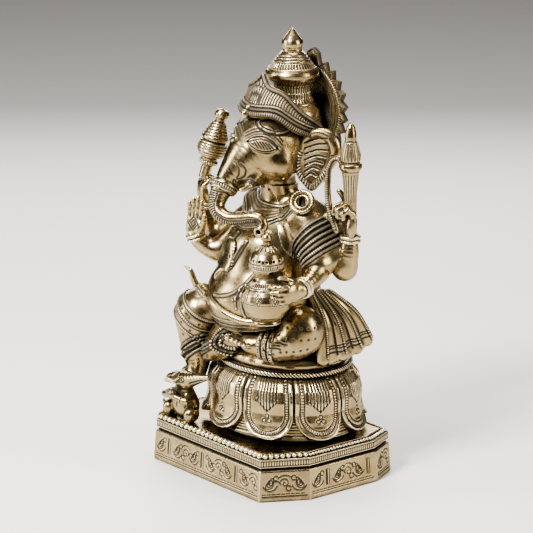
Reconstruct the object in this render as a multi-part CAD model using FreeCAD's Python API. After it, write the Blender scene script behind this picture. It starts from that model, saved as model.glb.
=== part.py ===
"""Seated Ganesha idol in cast brass, built up from separate hollow and solid castings.

Millimetres, +Z up. The origin is the middle of the plinth's resting face. The figure faces -Y and its own
left side is +X. The figure's castings are placed from SEAT, the middle of the seat slab's top.
"""

import FreeCAD, Part
import math
import os
from FreeCAD import Vector as V

os.makedirs("parts", exist_ok=True)

# ---- driving dimensions ----------------------------------------------------------------------------------
PLINTH_HALF_X = 96.0
PLINTH_HALF_Y = 71.0
FRONT_CUT = (22.0, 39.0)      # corner cut along X and Y at the two front corners
REAR_CUT = (14.0, 28.0)       # the same at the two rear corners
PLINTH_WALL = 6.0
DADO_TOP = 27.0               # top of the engraved plinth face
GROOVE_TOP = 29.5
CORNICE_TOP = 37.0
PLINTH_TOP = 40.0
DADO_LEAN = 2.0               # how far the plinth face leans in over its height

SEAT = V(12.0, 8.0, 114.0)    # middle of the seat slab's top
OVAL = 1.20                   # the pedestal is this much wider than it is deep
LOTUS_WALL = 4.5
LOTUS_TOP = 99.0
PETALS = 9
PETAL_TURN = math.radians(-97.4)   # bearing of the first petal, from +X
PETAL_TIP_R = 67.0            # along Y, and OVAL times this along X
CASTING_WALL = 4.5            # wall of the hollow figure castings
BOLT_R = 4.0
HALO_SCREW_R = 2.5

HALO_R = 38.4                 # to the root of the teeth
HALO_TOOTH = 5.6
HALO_TEETH = 24
HALO_THICK = 4.0
HALO_Y = 30.0                 # behind the seat's middle
HALO_Z = 205.0                # above the seat

POT_AXIS = (51.5, -62.0)      # from SEAT, in X and Y
MACE_FOOT = (-77.0, -25.0, 140.0)
MACE_LEAN = 16.0              # degrees from upright
MACE_TOWARD = V(0.629, 0.777, 0)   # level direction that it leans in: inward and back
CLASP = (38.0, -12.0, 133.0)  # middle of the shawl's ring brooch
STUD = 9.0  # reach of the brooch's stud behind its middle
CROWN_Y = 8.0                 # the crown's axis behind the seat's middle

RING_POINTS = 12              # points that carry each round section


# ---- small geometry tools --------------------------------------------------------------------------------
def seat(x, y, z):
    """A point given from the middle of the seat."""
    return SEAT + V(x, y, z)


def ellipse_wire(centre, across, along, half_across, half_along):
    """A closed, smooth oval through RING_POINTS points."""
    points = []
    for i in range(RING_POINTS):
        a = 2 * math.pi * i / RING_POINTS
        points.append(centre + across * (half_across * math.cos(a)) + along * (half_along * math.sin(a)))
    curve = Part.BSplineCurve()
    curve.interpolate(points, True)
    return Part.Wire([curve.toShape()])


def stack(sections):
    """A solid through level ovals, each (x, y, z, half width, half depth) from SEAT."""
    wires = [ellipse_wire(seat(x, y, z), V(1, 0, 0), V(0, 1, 0), a, b) for x, y, z, a, b in sections]
    return Part.makeLoft(wires, True, False)


def limb(sections, side=V(1, 0, 0)):
    """A solid through ovals square to a path, each (x, y, z, half width, half depth) from SEAT.
    side is the rough direction of the half width."""
    path = [seat(*s[:3]) for s in sections]
    wires = []
    for i, s in enumerate(sections):
        ahead = path[min(i + 1, len(path) - 1)] - path[max(i - 1, 0)]
        ahead.normalize()
        across = side - ahead * side.dot(ahead)
        across.normalize()
        wires.append(ellipse_wire(path[i], across, ahead.cross(across), s[3], s[4]))
        side = across
    return Part.makeLoft(wires, True, False)


def ball(x, y, z, rx, ry, rz):
    """An ellipsoid with its centre from SEAT."""
    m = FreeCAD.Matrix()
    m.scale(rx, ry, rz)
    shape = Part.makeSphere(1.0).transformGeometry(m)
    shape.translate(seat(x, y, z))
    return shape


def smooth_turned(profile, x, y):
    """A solid turned about a vertical axis at x, y from SEAT, smooth through (radius, height) points."""
    curve = Part.BSplineCurve()
    curve.interpolate([V(r, 0, z) for r, z in profile])
    top, bottom = V(0, 0, profile[-1][1]), V(0, 0, profile[0][1])
    start, end = curve.value(curve.FirstParameter), curve.value(curve.LastParameter)
    edges = [curve.toShape()]
    if end.distanceToPoint(top) > 1e-6:
        edges.append(Part.makeLine(end, top))
    edges.append(Part.makeLine(top, bottom))
    if start.distanceToPoint(bottom) > 1e-6:
        edges.append(Part.makeLine(bottom, start))
    face = Part.Face(Part.Wire(edges))
    shape = face.revolve(V(0, 0, 0), V(0, 0, 1), 360)
    shape.translate(seat(x, y, 0))
    return shape


def fuse(*shapes):
    """One solid from overlapping solids."""
    whole = shapes[0]
    for s in shapes[1:]:
        whole = whole.fuse(s)
    return whole


def largest(shape):
    """The biggest solid of a cut, which drops slivers."""
    return max(shape.Solids, key=lambda s: s.Volume)


def spigot(base, tip, radius):
    """A round peg from base to tip, both given from SEAT."""
    start, end = seat(*base), seat(*tip)
    return Part.makeCylinder(radius, (end - start).Length, start, end - start)


def export(name, shape):
    """Writes one node and says what it holds."""
    print(name, len(shape.Solids), round(shape.Volume / 1000, 1),
          "cm3", "ok" if shape.isValid() else "INVALID")
    shape.exportStep(f"parts/{name}.step")


# ---- plinth ----------------------------------------------------------------------------------------------
def octagon(inset, z):
    """The plinth's outline, moved in by inset, at height z."""
    hx, hy = PLINTH_HALF_X - inset, PLINTH_HALF_Y - inset
    (fx, fy), (rx, ry) = FRONT_CUT, REAR_CUT
    trim = inset * 0.6  # an inset corner cut is shorter than the outer one
    corners = [(-hx + fx - trim, -hy), (hx - fx + trim, -hy), (hx, -hy + fy - trim), (hx, hy - ry + trim),
               (hx - rx + trim, hy), (-hx + rx - trim, hy), (-hx, hy - ry + trim), (-hx, -hy + fy - trim)]
    points = [V(x, y, z) for x, y in corners]
    return Part.makePolygon(points + [points[0]])


def slab(inset, low, high):
    """A level slab of the plinth's outline."""
    return Part.Face(octagon(inset, low)).extrude(V(0, 0, high - low))


def make_plinth():
    """Hollow base casting, open below, with an engraved face, a groove, a cornice and a top plate."""
    face = Part.makeLoft([octagon(0, 0), octagon(DADO_LEAN, DADO_TOP)], True, True)
    body = fuse(face, slab(5.0, DADO_TOP, GROOVE_TOP), slab(2.5, GROOVE_TOP, CORNICE_TOP))
    body = body.fuse(slab(9.0, CORNICE_TOP, PLINTH_TOP))
    hollow = slab(PLINTH_WALL + 5.0, 0, PLINTH_TOP - 6.0)
    bolt_hole = Part.makeCylinder(BOLT_R + 0.3, PLINTH_TOP, V(SEAT.x, SEAT.y, 0))
    return body.cut(hollow).cut(bolt_hole)


def make_bead_border():
    """The beaded strip that runs round the plinth's top edge."""
    return slab(3.5, CORNICE_TOP, PLINTH_TOP + 1.5).cut(slab(9.0, CORNICE_TOP, PLINTH_TOP + 1.5))


# ---- lotus pedestal and seat -----------------------------------------------------------------------------
def oval_stack(profile, sharp=False):
    """A level oval form on the seat's axis, through (radius along Y, height above the resting face)."""
    wires = [ellipse_wire(V(SEAT.x, SEAT.y, z), V(1, 0, 0), V(0, 1, 0), r * OVAL, r) for r, z in profile]
    return Part.makeLoft(wires, True, sharp)


def bolt_bore(low, high):
    """The clearance hole for the tie bolt."""
    return Part.makeCylinder(BOLT_R + 0.3, high - low, V(SEAT.x, SEAT.y, low))


# the bell and the petals' outer face, as (radius along Y, height above the resting face)
BELL = [(52.0, 40.0), (53.5, 44.5), (52.0, 49.0), (54.5, 60.0), (57.5, 74.0), (56.5, 86.0), (50.5, 95.0),
        (46.0, LOTUS_TOP)]
PETAL_OUTER = [(PETAL_TIP_R - 1.5, 46.5), (PETAL_TIP_R, 50.0), (63.0, 58.0), (61.8, 68.0), (62.0, 78.0),
               (59.5, 88.0), (52.5, LOTUS_TOP - 2.0)]


def petal_prism(angle, half_angle):
    """A radial block whose side outline is a hanging petal with a round tip."""
    reach = PETAL_TIP_R * OVAL + 6.0
    half = PETAL_TIP_R * 1.07 * math.tan(half_angle)
    low, high = 47.5, LOTUS_TOP - 3.0
    shoulder = low + half * 0.9
    left, right = V(reach, -half, shoulder), V(reach, half, shoulder)
    outline = Part.Wire([
        Part.makeLine(V(reach, -half * 0.72, high), left),
        Part.Arc(left, V(reach, 0, low), right).toShape(),
        Part.makeLine(right, V(reach, half * 0.72, high)),
        Part.makeLine(V(reach, half * 0.72, high), V(reach, -half * 0.72, high)),
    ])
    block = Part.Face(outline).extrude(V(-(reach - 30.0), 0, 0))
    block.rotate(V(0, 0, 0), V(0, 0, 1), math.degrees(angle))
    block.translate(V(SEAT.x, SEAT.y, 0))
    return block


def make_lotus():
    """Hollow lotus pedestal with a ring of hanging petals, cast in one."""
    petal_layer = oval_stack(PETAL_OUTER).cut(oval_stack([(r - 5.5, z) for r, z in PETAL_OUTER]))
    petals = []
    for i in range(PETALS):
        angle = PETAL_TURN + 2 * math.pi * i / PETALS
        petals.append(largest(petal_layer.common(petal_prism(angle, math.pi / PETALS * 0.96))))
    hollow = oval_stack([(r - LOTUS_WALL, z) for r, z in BELL[1:-1]])
    mouth = oval_stack([(46.0, 39.0), (46.0, 50.0)], True)
    body = oval_stack(BELL).multiFuse(petals)
    return body.cut(hollow).cut(mouth).cut(bolt_bore(80.0, 110.0))


def make_seat_ring():
    """The beaded ring between the lotus and the seat."""
    low = LOTUS_TOP
    ring = oval_stack([(49.0, low), (52.0, low + 1.0), (53.0, low + 2.5), (52.0, low + 4.0),
                       (49.0, low + 5.0)])
    return ring.cut(bolt_bore(low - 2, low + 8))


def make_seat_slab():
    """The oval seat that the figure sits on, with a tapped blind hole for the tie bolt."""
    low, top = LOTUS_TOP + 5.0, SEAT.z
    body = oval_stack([(46.0, low), (50.0, low + 3.0), (49.0, low + 6.5), (45.0, top)])
    return body.cut(Part.makeCylinder(BOLT_R, 7, V(SEAT.x, SEAT.y, low - 1)))


def hexagon(across_flats, low, high, x, y):
    """A hexagonal prism about a vertical axis."""
    r = across_flats / math.sqrt(3)
    turns = [math.pi / 3 * i for i in range(7)]
    points = [V(x + r * math.cos(a), y + r * math.sin(a), low) for a in turns]
    return Part.Face(Part.makePolygon(points)).extrude(V(0, 0, high - low))


def make_tie_bolt():
    """The stud that pulls the plinth, the lotus and the seat together."""
    return Part.makeCylinder(BOLT_R - 0.05, 89, V(SEAT.x, SEAT.y, 21.0))


def make_tie_nut():
    """The nut and washer on the tie bolt, inside the plinth."""
    washer = Part.makeCylinder(11.0, 2.0, V(SEAT.x, SEAT.y, PLINTH_TOP - 8.0))
    nut = hexagon(13.0, PLINTH_TOP - 14.5, PLINTH_TOP - 8.0, SEAT.x, SEAT.y)
    return washer.fuse(nut).cut(Part.makeCylinder(BOLT_R, 40, V(SEAT.x, SEAT.y, 10)))


# ---- body ------------------------------------------------------------------------------------------------
TORSO = [
    (0, -6, 0, 47, 40), (0, -14, 12, 49, 44), (0, -21, 28, 50, 49), (0, -25, 44, 51, 50),
    (0, -25, 58, 49, 48), (0, -23, 72, 45, 43), (0, -19, 86, 40, 38), (0, -13, 100, 38, 31),
    (0, -6, 114, 38, 24), (0, -3, 126, 33, 20), (0, -3, 136, 20, 17), (0, -6, 148, 16, 16),
]


def thinned(sections):
    """The sections of the space inside a hollow casting."""
    return [(x, y, z, a - CASTING_WALL, b - CASTING_WALL) for x, y, z, a, b in sections[1:-1]]


LEFT_LEG = [(18, 2, 20, 17, 17), (36, -6, 22, 18, 18), (50, -16, 25, 18, 19), (55, -28, 25, 18, 18),
            (46, -42, 18, 14, 15), (30, -52, 13, 11, 12), (16, -58, 10, 9, 9), (6, -60, 8, 8, 6),
            (-4, -60, 6, 7, 4)]
RIGHT_THIGH = [(-16, 0, 20, 18, 18), (-32, -18, 24, 20, 21), (-48, -38, 26, 20, 21), (-58, -49, 23, 19, 19),
               (-60, -52, 8, 16, 15), (-58, -53, -8, 13, 12), (-57, -55, -20, 10, 9)]
RIGHT_FOOT = [(-57, -52, -24, 8, 7), (-58, -60, -28, 8, 6), (-59, -70, -31, 8, 4.5), (-60, -77, -33, 6, 3)]


def arm(upper, elbow, fore, side):
    """Upper arm, elbow and forearm with the hand, as one casting. elbow is (x, y, z, radius)."""
    x, y, z, r = elbow
    return fuse(limb(upper, side), ball(x, y, z, r, r, r), limb(fore, side))


REAR_LEFT_ARM = (
    [(32, 4, 118, 13, 13), (52, 6, 99, 12, 12), (71, 6, 82, 10, 10)],
    (72, 6, 81, 10.8),
    [(73, 6, 80, 9.5, 9.5), (76, 7, 93, 9, 9), (77, 8, 108, 6.5, 6.5), (77, 8, 118, 6, 9),
     (77, 8, 130, 6, 10), (77, 8, 138, 4, 8)],
    V(0, 1, 0),
)
REAR_RIGHT_ARM = (
    [(-32, 2, 118, 13, 13), (-52, -8, 98, 12, 12), (-68, -18, 83, 10.2, 10.2)],
    (-69, -19, 82, 11),
    [(-70, -20, 81, 9.5, 9.5), (-74, -23, 95, 8.5, 8.5), (-76, -25, 110, 6.2, 6.2),
     (-77, -26, 120, 6, 8), (-77, -26, 132, 6, 9), (-77, -25, 142, 5, 7)],
    V(0, 1, 0),
)
FRONT_LEFT_ARM = (
    [(36, -6, 112, 12, 12), (50, -9, 96, 11.5, 11.5), (61, -14, 81, 10.2, 10.2)],
    (62, -15, 80, 11),
    [(63, -18, 79, 9.5, 9.5), (68, -30, 74, 8.2, 8.2), (73, -42, 70, 7, 8), (76, -54, 69, 10, 5),
     (76, -64, 68, 8, 4)],
    V(0, 0, 1),
)
FRONT_RIGHT_ARM = (
    [(-34, -10, 106, 11.5, 11.5), (-45, -18, 90, 11, 11), (-53, -28, 77, 10, 10)],
    (-54, -29, 76, 10.6),
    [(-55, -31, 76, 9, 9), (-62, -39, 81, 7.6, 7.6), (-67, -46, 89, 6.2, 6.2),
     (-68, -47, 98, 10, 5), (-68, -47, 112, 9, 4), (-68, -46, 122, 7, 3)],
    V(1, 0, 0),
)

HEAD = [(0, 20, 180, 13, 14), (0, 13, 179, 25, 24), (0, -2, 178, 31, 27), (0, -18, 175, 32, 29),
        (-2, -34, 170, 26, 26), (-6, -47, 160, 18, 18), (-10, -58, 148, 12, 12)]
TRUNK = [(-10, -59, 147, 11, 11), (-10, -64, 140, 9, 9), (-7, -67, 132, 8, 8), (0, -66, 125, 7.5, 7.5),
         (9, -61, 123.5, 7, 7), (18, -56, 125, 6.5, 6.5), (27, -50, 125.5, 6, 6), (33, -47, 122, 5.5, 5.5),
         (33, -51, 116, 5, 5)]


def ear_blade(sign):
    """One flat, leaf-shaped ear, standing out from the side of the head."""
    outline = [(4, 46), (14, 53), (27, 46), (29, 32), (19, 16), (11, 0), (2, 8), (-3, 24), (-3, 38)]
    out = V(sign * 0.78, 0.62, 0)   # the direction the ear stands out in
    root = seat(sign * 27, -4, 143)
    curve = Part.BSplineCurve()
    curve.interpolate([root + out * reach + V(0, 0, rise) for reach, rise in outline], True)
    face = Part.Face(Part.Wire([curve.toShape()]))
    return face.extrude(V(sign * 0.62, -0.78, 0) * 5.0)


def crown_band():
    """The tilted tiara round the brow with a leaf-shaped crest in front."""
    tilt = V(0, 0.40, 0.92)
    centre = seat(0, -4, 199)
    across = V(1, 0, 0)
    along = tilt.cross(across)

    def oval(offset, radius):
        return ellipse_wire(centre + tilt * offset, across, along, radius, radius * 0.98)

    band = Part.makeLoft([oval(-9, 33.5), oval(-4, 35.0), oval(2, 33.5), oval(8, 29.0)], True, False)
    crest = limb([(0, -31, 206, 17, 3), (0, -33, 216, 13, 3), (0, -31, 226, 7, 2.5),
                  (0, -28, 236, 1.5, 1.5)])
    return band.fuse(crest)


# turned profiles, as (radius, height above the seat)
CROWN_CAP = [(25, 186), (25.5, 198), (23.5, 207), (19.5, 214), (16, 221)]
CROWN_TIER = [(16, 221), (16.5, 226), (21, 232), (23.5, 236), (23, 240), (19, 245), (15, 250),
              (11, 254), (9.5, 256)]
FINIAL = [(7.5, 256), (7.5, 258), (9.4, 262), (8.2, 267), (4.2, 272), (1.2, 275), (0.01, 275.4)]
POT_BODY = [(12.4, 40), (12.3, 43.5), (16.8, 48.5), (20.3, 57), (21.6, 62), (20.4, 68),
            (16.8, 73), (12.4, 77), (10.4, 80.5), (12.2, 85), (13.8, 88)]
POT_LID = [(14.3, 88), (14.9, 92), (14.3, 96), (11.4, 101.6), (6, 106.4), (3.1, 108.5),
           (4.6, 112.5), (4.4, 115.4), (1.6, 118.2), (0.01, 118.5)]
MACE = [(4.6, 138), (5.0, 145), (8.6, 149), (7.2, 152), (11.2, 156), (13.0, 162), (11.6, 168),
        (10.4, 170), (11.6, 173), (8.2, 180.5), (4.4, 187), (6.3, 192), (5.0, 196.5), (0.01, 198)]
GOAD = [(5.4, 128), (5.6, 146), (7.0, 162), (9.8, 169), (8.0, 173.5), (8.7, 178), (5.2, 190),
        (3.7, 194), (2.8, 203), (0.01, 207)]


def crown_cap():
    """The domed cap with a flat at the back where the halo is screwed on."""
    dome = smooth_turned(CROWN_CAP, 0, CROWN_Y)
    behind = Part.makeBox(80, 20, 60, seat(-40, HALO_Y, 180))
    return dome.cut(behind).cut(spigot((0, HALO_Y - 8, HALO_Z), (0, HALO_Y + 1, HALO_Z), HALO_SCREW_R))


def halo():
    """The sun disc behind the crown, with a toothed edge, a dished front and a loop on top."""
    points = []
    for i in range(2 * HALO_TEETH):
        r = HALO_R + (HALO_TOOTH if i % 2 == 0 else 0)
        a = math.pi * i / HALO_TEETH + math.pi / 2
        points.append(seat(r * math.cos(a), HALO_Y, HALO_Z + r * math.sin(a)))
    disc = Part.Face(Part.makePolygon(points + [points[0]])).extrude(V(0, HALO_THICK, 0))
    loop = limb([(0, HALO_Y + 2, HALO_Z + 36, 7, 1.8), (0, HALO_Y + 2, HALO_Z + 44, 7, 1.8),
                 (0, HALO_Y + 2, HALO_Z + 52, 3, 1.6), (0, HALO_Y + 2, HALO_Z + 57, 1, 1)])
    rim_groove = Part.makeTorus(HALO_R - 5, 1.2, seat(0, HALO_Y, HALO_Z), V(0, 1, 0))
    return disc.fuse(loop).cut(rim_groove).cut(
        spigot((0, HALO_Y - 2, HALO_Z), (0, HALO_Y + 9, HALO_Z), HALO_SCREW_R + 0.2))


def mace():
    """The mace in the rear right hand, leaning inward and back."""
    x, y, z = MACE_FOOT
    upright = smooth_turned(MACE, x, y)
    upright.rotate(seat(x, y, z), V(0, 0, 1).cross(MACE_TOWARD), MACE_LEAN)
    return upright


def halo_screw():
    """The round-headed screw that holds the halo to the back of the crown."""
    back = HALO_Y + HALO_THICK
    shank = spigot((0, HALO_Y - 7, HALO_Z), (0, back + 0.5, HALO_Z), HALO_SCREW_R - 0.05)
    return shank.fuse(spigot((0, back, HALO_Z), (0, back + 3.0, HALO_Z), 5.5))


def sash_fan():
    """The pleated cloth end that flares out behind the left hip."""
    return limb([(42, 4, 54, 12, 4), (48, 12, 38, 17, 4.5), (53, 17, 20, 25, 4.5), (57, 21, 0, 31, 4.5)],
                V(-0.2, 0.98, 0))


def shawl(torso):
    """The folded cloth over the left shoulder, a layer on the chest and upper arm."""
    grown = stack([(x, y, z, a + 3.0, b + 3.0) for x, y, z, a, b in TORSO])
    block = Part.makeBox(80, 120, 90, seat(10, -70, 60))
    block.rotate(seat(8, -10, 100), V(0, 1, 0), 22)
    return grown.common(block).cut(torso)


def snake_belt():
    """The cobra tied round the belly: a cord, and a hooded head with its tail curled up beside it."""
    cord = []
    for i in range(8):
        a = math.radians(-150 + 16 * i)
        cord.append((51 * math.cos(a), -25 + 50 * math.sin(a), 50 - 5 * math.cos(a), 3.4, 3.4))
    head = [(-36, -53, 54, 4, 4), (-38, -59, 53, 7, 5), (-42, -64, 56, 5, 4), (-46, -67, 63, 3, 3),
            (-49, -70, 70, 1.4, 1.4)]
    return [limb(cord, V(0, 0, 1)), limb(head, V(1, 0, 0))]


def noose():
    """The beaded cord that hangs from the goad's shoulder into the palm."""
    return limb([(70, 4, 176, 1.6, 1.6), (63, 0, 174, 2.2, 2.2), (60, -3, 160, 2.2, 2.2),
                 (61, -4, 142, 2.2, 2.2), (66, -4, 126, 2.2, 2.2), (72, -2, 116, 2, 2)])


def tusks():
    """The two short tusks beside the trunk's root."""
    whole = limb([(7, -42, 151, 3.5, 3.5), (9, -49, 147, 3, 3), (9, -54, 145, 2, 2)])
    broken = limb([(-24, -42, 150, 3.5, 3.5), (-27, -48, 147, 3, 3), (-28, -51, 146, 2.6, 2.6)])
    return [whole, broken]


def pendant():
    """The leaf-shaped breast ornament on its cord."""
    return ball(-10, -57, 78, 12, 7, 14)


def shawl_clasp():
    """The round ring brooch that gathers the shawl, with a low boss in front and a stud into the cloth."""
    outline = [V(0, 0, 4.6), V(8.0, 0, 2.4), V(10.4, 0, 0), V(8.0, 0, -2.4), V(3.0, 0, -3.6),
               V(3.0, 0, -STUD), V(0, 0, -STUD)]
    edges = [Part.makeLine(outline[0], outline[1]), Part.Arc(*outline[1:4]).toShape()]
    for start, end in zip(outline[3:], outline[4:] + outline[:1]):
        edges.append(Part.makeLine(start, end))
    brooch = Part.Face(Part.Wire(edges)).revolve(V(0, 0, 0), V(0, 0, 1), 360)
    brooch.Placement = FreeCAD.Placement(seat(*CLASP), FreeCAD.Rotation(V(0, 0, 1), V(0.45, -0.62, 0.64)))
    return brooch


def lap_drape():
    """The pleated lower garment that hangs over the edge of the seat between the legs."""
    return limb([(-22, -42, 14, 12, 8), (-20, -52, 8, 16, 5), (-18, -56, -4, 18, 3.5),
                 (-17, -58, -12, 15, 2.5)], V(1, 0, 0))


def mouse():
    """The mouse that sits by the lotus and holds up a sweet."""
    body = limb([(-62, -60, -73, 13, 9), (-62, -60, -67, 17, 11), (-61, -61, -57, 15, 11),
                 (-60, -62, -47, 11, 9), (-60, -63, -38, 8, 8)])
    head = limb([(-67, -62, -39, 6, 6), (-59, -63, -37, 9, 8.5), (-49, -65, -33, 7, 7),
                 (-38, -67, -29, 4, 4), (-30, -67, -27, 1.5, 1.5)], V(0, 1, 0))
    ear = limb([(-64, -61, -36, 4, 2), (-72, -61, -38, 7, 1.8), (-80, -61, -41, 5, 1.5),
                (-85, -61, -43, 1, 1)], V(0, 0, 1))
    return fuse(body, head, ear)


def ring(centre, direction, radius, tube=1.6):
    """A plain ring worn round a limb."""
    return Part.makeTorus(radius, tube, seat(*centre), V(*direction))


def bangles():
    """One bangle on each wrist."""
    return [
        ring((77, 8, 108), (0, 0, 1), 8.2),
        ring((-76, -25, 109), (0, 0, 1), 7.8),
        ring((-66, -45, 87.5), (-0.5, -0.6, 0.7), 7.8),
        ring((71.5, -38, 71.5), (0.3, -0.9, -0.3), 8.6),
    ]


def sweet():
    """The round sweet in the mouse's paws."""
    return ball(-60, -75, -48, 5.2, 5.2, 5.2)


def main():
    """Builds the pieces in order. Each later piece is cut back to meet the ones it touches."""
    torso_outer = stack(TORSO)
    seat_slab, seat_ring, lotus = make_seat_slab(), make_seat_ring(), make_lotus()
    export("plinth", make_plinth())
    export("bead_border", make_bead_border())
    export("lotus_pedestal", lotus)
    export("seat_ring", seat_ring)
    export("seat_slab", seat_slab)
    export("tie_bolt", make_tie_bolt())
    export("tie_nut_and_washer", make_tie_nut())
    export("torso", torso_outer.cut(stack(thinned(TORSO))))
    pieces = [
        ("left_leg", [limb(LEFT_LEG, V(0, 0, 1))]),
        ("right_leg", [limb(RIGHT_THIGH, V(0, 1, 0)).fuse(limb(RIGHT_FOOT))]),
        ("rear_left_arm", [arm(*REAR_LEFT_ARM)]),
        ("rear_right_arm", [arm(*REAR_RIGHT_ARM)]),
        ("front_left_arm", [arm(*FRONT_LEFT_ARM)]),
        ("front_right_arm", [arm(*FRONT_RIGHT_ARM)]),
        ("head", [limb(HEAD).cut(limb(thinned(HEAD)))]),
        ("trunk", [limb(TRUNK)]),
        ("trunk_band", [ring((-10, -64, 140), (0, -0.5, -0.9), 9.5, 1.8)]),
        ("tusks", tusks()),
        ("left_ear", [ear_blade(1)]),
        ("right_ear", [ear_blade(-1)]),
        ("crown_band", [crown_band()]),
        ("crown_cap", [crown_cap()]),
        ("crown_tier", [smooth_turned(CROWN_TIER, 0, CROWN_Y)]),
        ("crown_finial", [smooth_turned(FINIAL, 0, CROWN_Y)]),
        ("halo", [halo()]),
        ("halo_screw", [halo_screw()]),
        ("pot_body", [smooth_turned(POT_BODY, *POT_AXIS)]),
        ("pot_lid", [smooth_turned(POT_LID, *POT_AXIS)]),
        ("mace", [mace()]),
        ("goad", [smooth_turned(GOAD, 77, 8)]),
        ("noose", [noose()]),
        ("bangles", bangles()),
        ("sash_fan", [sash_fan()]),
        ("lap_drape", [lap_drape()]),
        ("shoulder_shawl", [shawl(torso_outer)]),
        ("shawl_clasp", [shawl_clasp()]),
        ("pendant", [pendant()]),
        ("snake_belt", snake_belt()),
        ("mouse", [mouse()]),
        ("mouse_sweet", [sweet()]),
    ]
    placed = [seat_slab, seat_ring, lotus, torso_outer]
    for name, solids in pieces:
        trimmed = []
        for shape in solids:
            for other in placed:
                if shape.BoundBox.intersect(other.BoundBox):
                    shape = shape.cut(other)
            trimmed.append(largest(shape))
        export(name, Part.makeCompound(trimmed) if len(trimmed) > 1 else trimmed[0])
        placed += trimmed


main()
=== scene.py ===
"""Looks for the seated Ganesha idol in antique brass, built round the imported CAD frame.

Every form is given in millimetres from the middle of the seat slab's top (+X figure's left, -Y front, +Z up)
and turned into metres in the CAD frame by place(). Rounded castings are modelled as Clay, a block of distance
values that forms are joined to, cut from and engraved in; turned parts and the plinth are dense swept grids.
"""

import math
import bpy
import numpy as np
import openvdb
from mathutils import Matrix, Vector


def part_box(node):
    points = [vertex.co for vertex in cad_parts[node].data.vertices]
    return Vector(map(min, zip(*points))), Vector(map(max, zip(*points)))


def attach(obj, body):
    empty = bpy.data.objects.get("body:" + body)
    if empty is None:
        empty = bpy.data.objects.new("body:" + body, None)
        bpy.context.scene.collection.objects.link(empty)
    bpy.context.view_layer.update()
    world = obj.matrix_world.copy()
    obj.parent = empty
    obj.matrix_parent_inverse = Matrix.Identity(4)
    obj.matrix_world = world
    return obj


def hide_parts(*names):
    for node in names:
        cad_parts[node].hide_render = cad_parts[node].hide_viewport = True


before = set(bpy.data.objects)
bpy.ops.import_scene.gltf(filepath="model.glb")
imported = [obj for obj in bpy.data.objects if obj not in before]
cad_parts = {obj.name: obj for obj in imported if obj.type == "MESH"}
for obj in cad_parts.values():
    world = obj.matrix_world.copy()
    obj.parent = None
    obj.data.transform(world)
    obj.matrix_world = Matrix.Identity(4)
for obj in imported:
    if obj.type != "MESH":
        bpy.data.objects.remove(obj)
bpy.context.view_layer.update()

MM = 0.001
FAR = 24.0                      # distance value of empty space, mm
_low, _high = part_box("seat_slab")
SEAT = np.array([(_low[0] + _high[0]) / 2, (_low[1] + _high[1]) / 2, _high[2]])
COARSE = 1.0
DARK_FOOT = 0.9                 # reach of the dark line at a cord's foot (patina and painted shade in the crease), millimetres
TURN = 2 * math.pi              # one full turn, radians


def unit(vector):
    """A vector scaled to length one."""
    v = np.array(vector, float)
    return v / np.linalg.norm(v)


def ring_points(centre, across, along, radius, count, end=TURN):
    """Points on a circle round centre, in the plane of across and along."""
    return [centre + (across * math.cos(a) + along * math.sin(a)) * radius
            for a in np.linspace(0, end, count)]


# ---- meshes -------------------------------------------------------------------------------------------
def place(points):
    """Metres in the CAD frame from millimetres from the seat."""
    return SEAT + np.asarray(points, float) * MM


def span(node):
    """A CAD node's low and high corners, in millimetres from the seat."""
    return [(np.array(corner) - SEAT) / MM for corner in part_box(node)]


def middle(node):
    """The middle of a CAD node's box, in millimetres from the seat."""
    low, high = span(node)
    return (low + high) / 2


def make_piece(name, points, quads, ink, nodes, tris=None, slot="antique_brass"):
    """A Blender mesh from seat millimetres, for CAD nodes. Its 'ink' is 1 for patina and painted shade, and
    -1 for none.
    """
    quads = np.asarray(quads, np.int64).reshape(-1, 4)
    tris = np.asarray(tris if tris is not None else [], np.int64).reshape(-1, 3)
    mesh = bpy.data.meshes.new(name)
    mesh.vertices.add(len(points))
    mesh.vertices.foreach_set("co", place(points).astype(np.float32).ravel())
    mesh.loops.add(quads.size + tris.size)
    mesh.loops.foreach_set("vertex_index", np.concatenate([quads.ravel(), tris.ravel()]).astype(np.int32))
    mesh.polygons.add(len(quads) + len(tris))
    starts = np.concatenate([4 * np.arange(len(quads)), quads.size + 3 * np.arange(len(tris))])
    mesh.polygons.foreach_set("loop_start", starts.astype(np.int32))
    mesh.update(calc_edges=True)
    mesh.validate()
    mesh.polygons.foreach_set("use_smooth", np.ones(len(mesh.polygons), bool))
    layer = mesh.attributes.new("ink", "FLOAT", "POINT")
    layer.data.foreach_set("value", np.clip(ink, -1, 1).astype(np.float32))
    piece = bpy.data.objects.new(name, mesh)
    bpy.context.scene.collection.objects.link(piece)
    piece.data.materials.append(MATERIALS[slot])
    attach(piece, "root")
    if nodes:
        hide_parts(*nodes)
    return piece


def smooth_path(points, step):
    """A Catmull-Rom curve through points (any number of columns), at about the given spacing."""
    p = np.asarray(points, float)
    if len(p) < 3:
        n = max(2, int(np.linalg.norm(p[-1, :3] - p[0, :3]) / step) + 1)
        return p[0] + (p[-1] - p[0]) * np.linspace(0, 1, n)[:, None]
    ends = np.vstack([2 * p[0] - p[1], p, 2 * p[-1] - p[-2]])
    out = []
    for a, b, c, d in zip(ends, ends[1:], ends[2:], ends[3:]):
        n = max(1, int(np.ceil(np.linalg.norm((c - b)[:3]) / step)))
        t = (np.arange(n) / n)[:, None]
        out.append(0.5 * (2 * b + (c - a) * t + (2 * a - 5 * b + 4 * c - d) * t ** 2
                          + (3 * b - a - 3 * c + d) * t ** 3))
    return np.vstack(out + [p[-1:]])


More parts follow.
